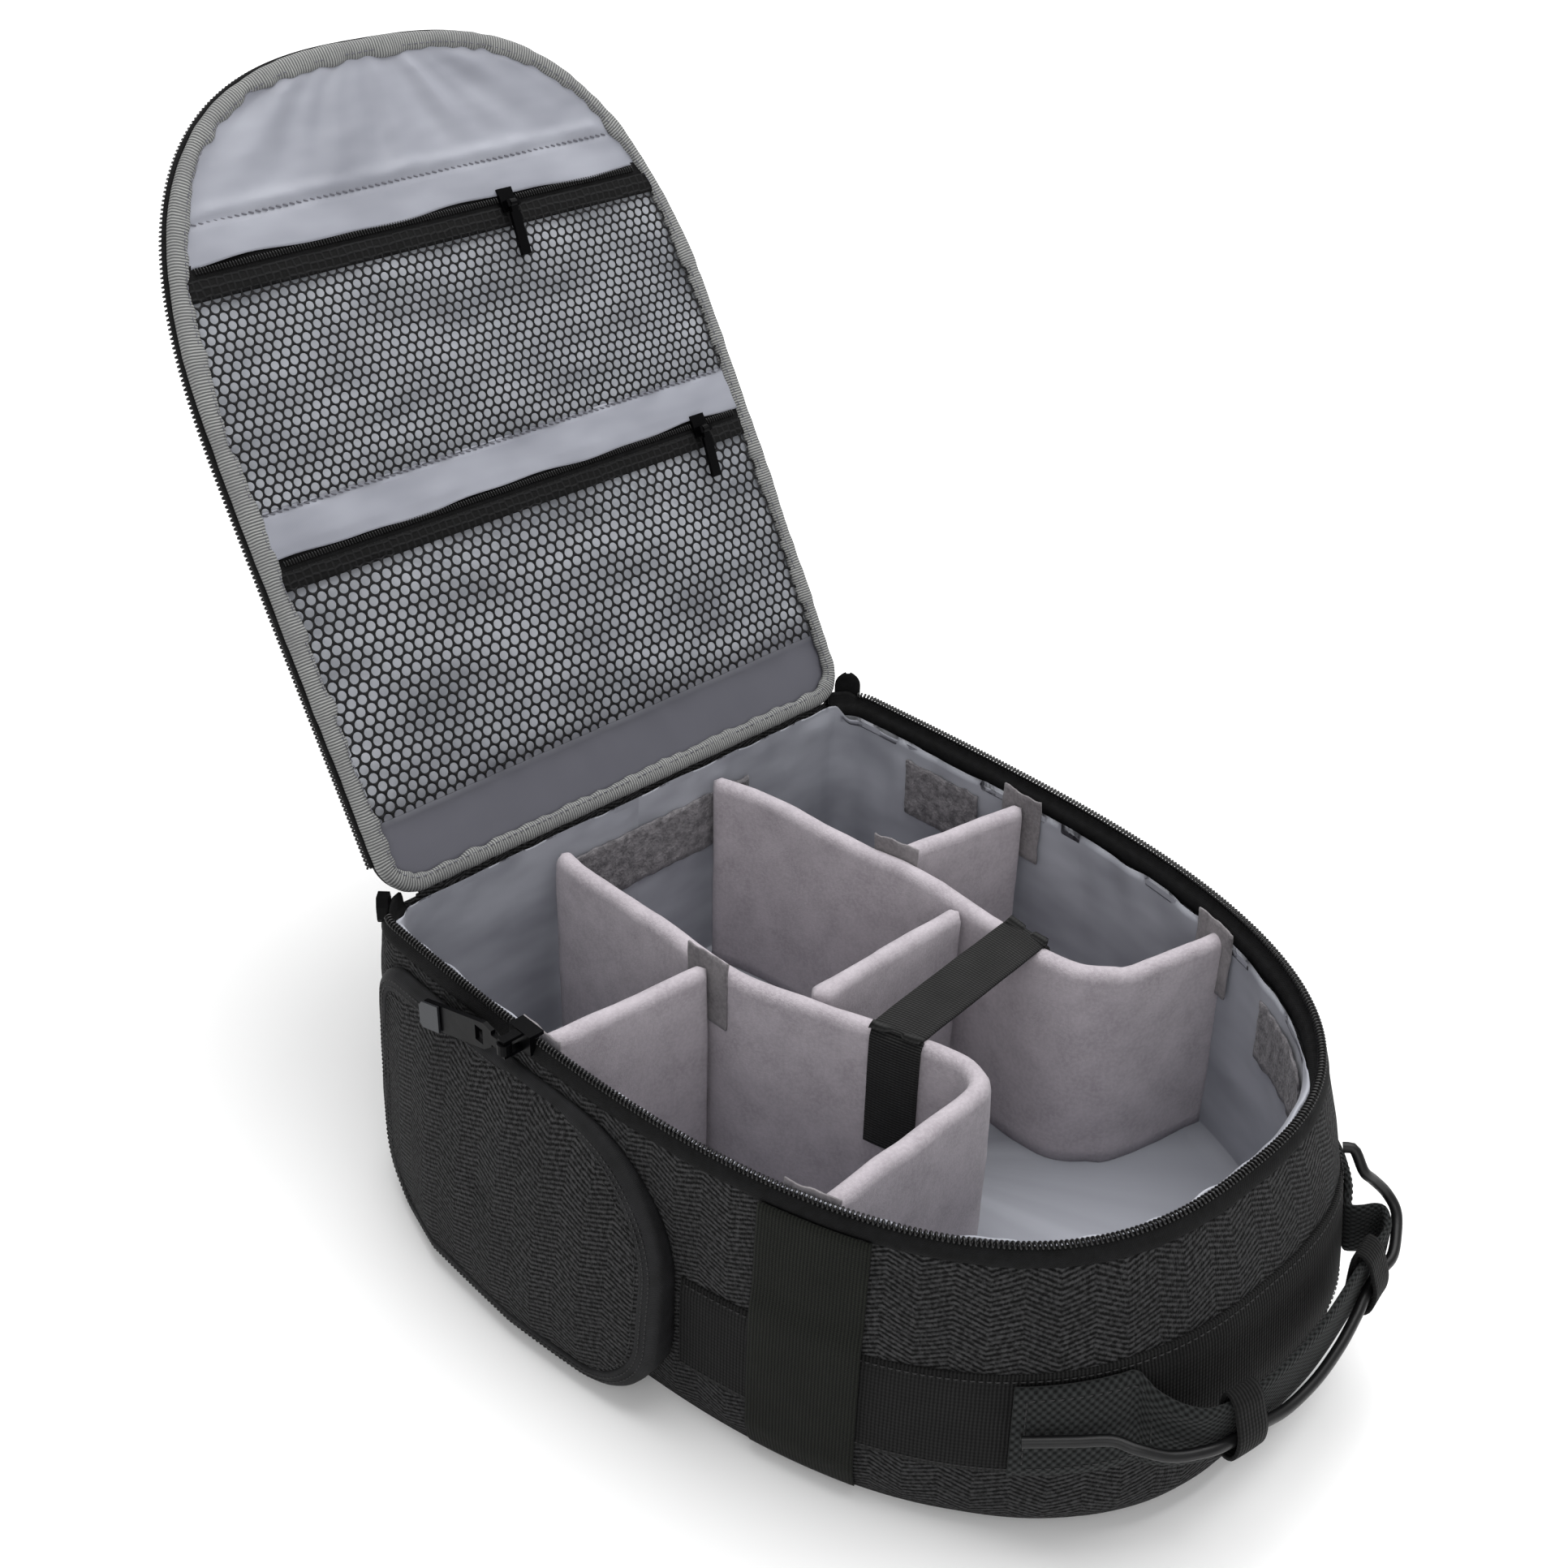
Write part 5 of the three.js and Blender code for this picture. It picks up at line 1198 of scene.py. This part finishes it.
def lidSheet(name, low, high, rowCount, columnCount, height, sway=None):
    v = np.linspace(0, 1, rowCount)[:, None]
    x = np.linspace(-1, 1, columnCount) * (faceHalf(low + (high - low) * v) + 0.01)
    t = np.broadcast_to(low + (high - low) * v, x.shape)
    if sway:
        t = t + sway(x) * np.clip(1 - v / 0.25, 0, 1)  # only the low, free edge wanders
    return surface(name, onLid(x, t, height(x, t)), heart=behindLid, plan=lidPlan)


upperFlap = {"low": 270.3, "high": 342, "seam": 287, "ridge": 291, "focus": 372, "flat": (0.262, 0.0712)}
lowerFlap = {"low": 148.8, "high": 169.6, "seam": 168, "flat": (0.2588, 0.0208)}


def topFolds(x, t):  # folds that fan out from a point above the lid, and the ridge over the seam
    angle, far = np.arctan2(x, upperFlap["focus"] - t), np.hypot(x, upperFlap["focus"] - t)
    wander = flatSwirl(x, t, 40, 3.3)
    fold = np.sin(angle * 14 + 0.8 + wander) * 1.1 + np.sin(angle * 29 + 2.1 - wander) * 0.5
    fold = fold * np.clip((t - 288) / 22, 0, 1) * (0.7 + 0.5 * wander) * np.clip(far / 60, 0.3, 1)
    ridge = 1.1 * np.exp(-((t - upperFlap["ridge"]) / 3.2) ** 2) * (1 + 0.3 * flatSwirl(x, t, 9, 1.7))
    dip = -0.5 * np.exp(-((t - upperFlap["seam"]) / 1.4) ** 2)
    under = 0.5 * flatSwirl(x, 0.4 * t, 22, 4.0) * (t < upperFlap["seam"])
    edge = 1.3 * np.clip((upperFlap["seam"] - t) / 16, 0, 1) + under
    side = np.clip((faceHalf(t) - 2.2 - np.abs(x)) / 8, 0, 1) * np.clip((340 - t) / 8, 0, 1)
    return 0.35 + (fold + ridge + edge + 0.5 * flatSwirl(x, t, 30, 5.1)) * side + dip


def lowFolds(x, t):
    loose = np.clip((lowerFlap["seam"] - t) / 14, 0, 1)
    wave = 0.8 * flatSwirl(x, 0.5 * t, 24, 7.3) + 0.4 * np.sin(x / 9 + t / 14)
    return 0.5 + loose * (1.1 + wave * 0.8) - 0.4 * np.clip((t - 166.8) / 1.2, 0, 1)


def makeUpperFlap():
    piece = lidSheet("upper_satin_flap", upperFlap["low"], upperFlap["high"], 66, 110, topFolds,
                     sway=lambda x: 0.9 * np.sin(x / 19) + 0.5 * np.sin(x / 8))
    thicken(dress(piece, "satin", "satin", "upper_flap"), 0.8)


def makeLowerFlap():
    piece = lidSheet("lower_satin_flap", lowerFlap["low"], lowerFlap["high"], 22, 110, lowFolds,
                     sway=lambda x: 0.7 * np.sin(x / 17 + 2) + 0.4 * np.sin(x / 7))
    thicken(dress(piece, "satin", "satin", "lower_flap"), 0.8)


def sewFlap(name, t, height):
    x = np.linspace(2 - faceHalf(t), faceHalf(t) - 2, 160)
    line = onLid(x, t, height(x, np.full(x.shape, float(t))) + 0.1)
    sew(name, line, lidFront, (2.6, 3.3, 0.42), "greyThread", "satin", slant=0.5)


net = {"hole": 0.405, "wire": 0.4, "sides": 12}  # hole: its radius as a share of the pitch


def makeNet(name, low, high, node, pitch):
    hole, wire, sides = net["hole"] * pitch, net["wire"], net["sides"]
    rowPitch = pitch * math.sqrt(3) / 2
    corner = np.arange(sides)
    angle = corner * 2 * math.pi / sides
    rim = np.where(corner % 2 == 0, pitch / 2, pitch / math.sqrt(3))  # a hexagon's sides and corners
    centres = []
    for r in range(int((high - low) / rowPitch) + 2):
        t = low + r * rowPitch
        reach = faceHalf(min(t, high)) + 0.3
        x = (np.arange(-45, 46) + 0.5 * (r % 2)) * pitch
        centres += [(c, t) for c in x[np.abs(x) < reach]]
    centres = np.array(centres)

    def height(x, t):
        share = np.clip((t - low) / (high - low), 0, 1)
        side = np.clip(1 - (np.abs(x) / 128) ** 4, 0, 1)
        hang = 1.6 * np.sin(np.pi * share ** 0.8) + 0.7 * flatSwirl(x, t, 34, 2.9)
        return 0.9 + hang * side + 0.5 * np.sin(x / 3.1) * np.exp(-((t - low) / 9) ** 2)

    def ring(radius, lift):
        x = centres[:, None, 0] + radius * np.cos(angle)
        t = np.clip(centres[:, None, 1] + radius * np.sin(angle), low - 0.5, high + 0.5)
        return onLid(x, t, height(x, t) + lift)

    between = (rim + hole) / 2 + 0.05
    loops = [(rim, wire), (between, wire * 0.8), (hole, 0), (between, -wire * 0.8), (rim, -wire)]
    points = np.stack([ring(*loop) for loop in loops], 1)  # cell, loop, corner
    cells = np.arange(len(centres))[:, None, None] * len(loops) * sides
    first, corner = np.meshgrid(np.arange(len(loops) - 1) * sides, corner, indexing="ij")
    after = (corner + 1) % sides
    places = [first + corner, first + after, first + sides + after, first + sides + corner]
    faces = np.stack([(cells + place).ravel() for place in places], 1)
    piece = meshPiece(name, points.reshape(-1, 3), faces.tolist())
    cleanMesh(piece, 0.02)
    dress(piece, "net", "net", node)


def makeNetBand(name, low, high, node):
    def height(x, t):
        return 1.3 + 0.35 * np.sin((t - low) / (high - low) * math.pi) + 0.25 * flatSwirl(x, t, 18, 1.9)

    piece = lidSheet(name, low, high, 8, 110, height)
    thicken(dress(piece, "denseNet", "net", node), 1.1)


pocketZip = {"under": 1.8, "down": 5.9, "up": 3, "pitch": 1.35, "coilHalf": (1.3, 0.7), "wire": 0.34}


def makePocketZip(name, edge):
    teeth = edge - pocketZip["under"]
    piece = lidSheet(f"{name}_tape_cloth", teeth - pocketZip["down"], teeth + pocketZip["up"], 6, 60,
                     lambda x, t: 0.55 + 0 * x)
    thicken(dress(piece, "tape", "tape", f"{name}_zip_tape"), 0.6)
    half = faceHalf(teeth) - 4.2
    line = onLid(np.linspace(-half, half, 200), teeth, 1.15)
    coil(f"{name}_pocket_coil", f"{name}_zip_teeth", line, lidUp, lidFront, pocketZip["pitch"],
         pocketZip["coilHalf"], pocketZip["wire"], 8)


hinge = {
    "half": 122, "profile": [(171.2, 126.8), (171.4, 128.4), (171.6, 130), (171.3, 131.6), (170.9, 132.4)],
}


def makeHinge():
    x = np.linspace(-hinge["half"], hinge["half"], 70)
    rows = [np.stack([x, y + 0.25 * flatSwirl(x, z, 16, 3.0), 0 * x + z], 1) for y, z in hinge["profile"]]
    piece = surface("hinge_cloth", np.stack(rows, 1), heart=(0, 100, 130))
    thicken(dress(piece, "herringbone", "herringbone", "hinge_strip"), 0.5, 0.0)


makeLidBack()
makeLidLining()
makeBinding()
makeLidZip()
makeUpperFlap()
makeLowerFlap()
sewFlap("upper_flap_stitch", upperFlap["seam"], topFolds)
sewFlap("lower_flap_stitch", lowerFlap["seam"], lowFolds)
makeNet("upper_hex_net", 169.2, 257.5, "upper_net", 4.6)
makeNet("lower_hex_net", 33.5, 137, "lower_net", 5.3)
makeNetBand("upper_net_band", 256.6, 265.6, "upper_net_head")
makeNetBand("lower_net_band", 136, 144, "lower_net_head")
makePocketZip("upper", 270.5)
makePocketZip("lower", 149)
makeHinge()
print("lid made")


# Dividers: their middle lines in plan, and their section, which is flat sided with a rounded top

divider = {
    "thick": 9, "foot": 19.9, "high": 123, "round": 5, "side": 0.06, "step": 3,
    "bluntEnd": 3.5, "endDrop": 2.5,
    "left": [
        (-47, 167.4), (-49, 151), (-49, 92), (-50, 70), (-49.6, 48), (-45, 29), (-36, 4), (-28, -20),
        (-21, -45), (-21.5, -57), (-30, -66), (-60, -67.5), (-127.6, -71),
    ],
    "right": [
        (45, 167.4), (53, 134), (55, 89), (60, 49), (57, -3), (56, -25), (59, -42), (68, -52), (78, -59),
        (127.8, -69),
    ],
}


def dividerSection(high):  # across from -1 to 1, height
    foot, top = divider["foot"], high - divider["round"]
    rise = np.linspace(0.06, 1, 12)
    out, z = 1 + divider["side"] * np.sin(math.pi * rise), foot + (top - foot) * rise
    turn = np.linspace(0.25, math.pi - 0.25, 9)
    across = np.concatenate([[-1], -out, -np.cos(turn), out[::-1], [1]])
    return across, np.concatenate([[foot], z, top + divider["round"] * np.sin(turn), z[::-1], [foot]])


def makeDivider(name, line, node):
    count = max(12, int(sum(math.dist(a, b) for a, b in zip(line, line[1:])) / divider["step"]))
    path = smoothLine([(*p, 0) for p in line], count)[:, :2]
    going = unit(np.gradient(path, axis=0))
    side = np.c_[-going[:, 1], going[:, 0]]
    long = distances(path)
    fromEnd = np.minimum(long, long[-1] - long)
    rows = []
    for i, p in enumerate(path):
        blunt = math.sqrt(max(0.04, 1 - max(0, 1 - fromEnd[i] / divider["bluntEnd"]) ** 2))
        across, z = dividerSection(divider["high"] - divider["endDrop"] * (1 - blunt))
        rows.append(np.c_[p + across[:, None] * side[i] * divider["thick"] / 2 * blunt, z])
    rows = np.array(rows)
    lumps = 0.45 * swirl(rows, 24, 4.2) + 0.15 * swirl(rows, 7, 1.1)
    rows[..., :2] += side[:, None] * lumps[..., None]
    rows[..., 2] += 0.3 * swirl(rows, 18, 9.4) * (rows[..., 2] > 60)
    piece = surface(name, rows, ringAcross=True, caps=True)
    dress(piece, "brushed", "brushed", node)


def nodeInPlan(name):  # a straight CAD node's points, their middle and its direction in plan
    points = np.array([v.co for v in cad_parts[name].data.vertices]) * 1000 - bagToRow
    centre = points.mean(0)
    return points, centre, np.linalg.svd((points - centre)[:, :2])[2][0]


def makeCrossDivider(side):
    points, centre, way = nodeInPlan(f"cross_divider_{side}")
    far = (points - centre)[:, :2] @ way
    ends = [tuple(centre[:2] + way * reach) for reach in (far.min(), far.max())]
    makeDivider(f"{side}_cross_pad", ends, f"cross_divider_{side}")


tab = {"half": 11.6, "curl": 2.6, "curlFrom": 0.72, "ragged": 0.5, "topWave": 1.3, "thick": 0.9}


def makeTab(node):
    points, centre, way = nodeInPlan(node)
    way = np.array([*way, 0])
    off = np.array([-way[1], way[0], 0])
    if off[:2] @ (centre[:2] - (0, 40)) > 0:
        off = -off  # towards the middle of the bag
    low, high = points[:, 2].min(), points[:, 2].max()
    seed = float(centre[0] * 0.13 + centre[1] * 0.07)
    rows = []
    for v in np.linspace(0, 1, 16):
        bend = tab["curl"] * max(0, v - tab["curlFrom"]) / (1 - tab["curlFrom"]) * max(0, v - 0.6)
        row = []
        for u in np.linspace(-1, 1, 14):
            curl = bend * (0.4 + 0.6 * math.sin(u * 2.2 + seed))
            ragged = tab["ragged"] * noise.noise(Vector((u * 4, v * 4, seed)))
            p = centre + way * (u * tab["half"] + ragged) + off * (curl + 0.2 * ragged)
            wave = tab["topWave"] * noise.noise(Vector((u * 2, 0, seed))) if v > 0.8 else 0
            row.append((p[0], p[1], low + (high - low) * v + wave))
        rows.append(row)
    piece = surface(node.replace("hook_tab", "tab_cloth"), rows, heart=tuple(centre - off * 20))
    thicken(dress(piece, "tab", "webbing", node), tab["thick"], 0.0)


felt = {"low": 84, "high": 114, "inset": 11.5, "thick": 1.0}


def makeFelt(name, node, start, end, facing=None):
    s = np.linspace(start, end, 50)
    rows = []
    for z in np.linspace(felt["low"], felt["high"], 12):
        edge = 0.7 * flatSwirl(s, z, 6, 2.0) * (z in (felt["low"], felt["high"]))
        rows.append(wallAt(s, z + edge, 0.35 * swirl(wallAt(s, z), 5, 7.0) - felt["inset"], True))
    piece = surface(name, np.stack(rows, 1), heart=facing)
    thicken(dress(piece, "felt", "felt", node), felt["thick"], 0.0)


# Elastic strap over both long dividers: out is the distance past a divider's middle
strap = {
    "left": {"x": -27.2, "y": -23, "out": (-0.963, -0.27), "wide": (0.27, -0.963)},
    "right": {"x": 56.5, "y": -14, "out": (0.999, -0.045), "wide": (-0.045, -0.999)},
    "over": [  # side, out, height over the dividers: down the left one, across, down the right one
        ("left", 6.6, -58.15), ("left", 6.6, -34.15), ("left", 6.5, -8), ("left", 5.4, -2),
        ("left", 2.8, 0.3), ("left", -3, 0.7), ("right", -3, 0.7), ("right", 2.8, 0.3), ("right", 5.4, -2),
        ("right", 6.5, -8), ("right", 6.6, -14),
    ],
    "level": 124.15, "half": 11.3, "curl": 0.5, "thick": 1.4,
}


def makeInsideStrap():
    points = []
    for side, out, up in strap["over"]:
        over = strap[side]
        x, y = over["x"] + over["out"][0] * out, over["y"] + over["out"][1] * out
        points.append((x, y, strap["level"] + up, *over["wide"]))
    line = smoothLine(points, 110)
    place, wide = line[:, :3], unit(np.c_[line[:, 3:], 0 * line[:, 0]])
    up = unit(np.cross(wide, np.gradient(place, axis=0)))
    rough = 0.25 * up * swirl(place, 20, 3.0)[:, None]
    rows = []
    for v in np.linspace(-1, 1, 15):
        rows.append(place + wide * v * strap["half"] - up * strap["curl"] * v * v + rough)
    piece = surface("inside_strap_webbing", np.stack(rows, 1), heart=(15, -18, 60))
    thicken(dress(piece, "strap", "webbing", "divider_strap"), strap["thick"])


endTab = {"half": 6.2, "round": 6.6, "roundFrom": 3, "inset": 1.2, "bow": 0.5, "thick": 1.4,
          "levels": (-5, -3, -1, 1, 3, 5, 6.6, 7.8, 8.7, 9.3, 9.5)}


def makeEndTab():  # the zip's rounded end at the right hinge corner
    diagonal = 0.7071
    span = (bag["corner"] - endTab["inset"]) * diagonal - bag["corner"]
    middle = np.array([bag["hingeHalf"] + span, bag["hingeY"] + span, bag["depth"]])
    way = np.array([-diagonal, diagonal, 0])
    rows = []
    for up in endTab["levels"]:
        past = max(0, up - endTab["roundFrom"]) / endTab["round"]
        half = endTab["half"] * math.sqrt(max(0.01, 1 - past ** 2))
        bow = [endTab["bow"] * v * v for v in np.linspace(-1, 1, 13)]
        rows.append([middle + way * half * v + (b, b, up) for v, b in zip(np.linspace(-1, 1, 13), bow)])
    piece = surface("zip_end_tab", rows, heart=heart)
    thicken(dress(piece, "tape", "tape", "corner_tape"), endTab["thick"], 0.0)


makeDivider("left_long_pad", divider["left"], "long_divider_left")
makeDivider("right_long_pad", divider["right"], "long_divider_right")
for side in ("left", "middle", "right"):
    makeCrossDivider(side)
for node in sorted(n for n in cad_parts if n.startswith("hook_tab")):
    makeTab(node)
makeFelt("hinge_felt", "felt_hinge_end", -40, 68, facing=(0, 900, 100))
makeFelt("arch_felt", "felt_arch_end", aroundAll * 0.375, aroundAll * 0.425)
makeFelt("right_felt", "felt_right", aroundAll * 0.165, aroundAll * 0.205)
makeInsideStrap()
makeEndTab()
print("dividers made")


# Hard pieces keep their CAD shapes, with broken edges

def finishNode(node, finish, bevel):
    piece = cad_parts[node]
    piece.data.materials.clear()
    piece.data.materials.append(paint[finish])
    edge = piece.modifiers.new("brokenEdges", "BEVEL")
    edge.width = bevel / 1000
    edge.segments = 3
    edge.limit_method = "ANGLE"
    edge.angle_limit = math.radians(35)


for node in ("upper_slider", "upper_puller", "lower_slider", "lower_puller", "main_slider", "main_puller",
             "corner_slider"):
    finishNode(node, "plastic", 0.35)
finishNode("main_puller_end", "steel", 0.25)


# Floor

floor = {"near": -6000, "far": 9000, "level": -0.2}


def makeFloor():
    near, far, z = floor["near"], floor["far"], floor["level"]
    corners = [(near, near, z), (far, near, z), (far, far, z), (near, far, z)]
    piece = meshPiece("studio_floor", corners, [[0, 1, 2, 3]])
    piece.data.materials.append(studioFloor())


makeFloor()
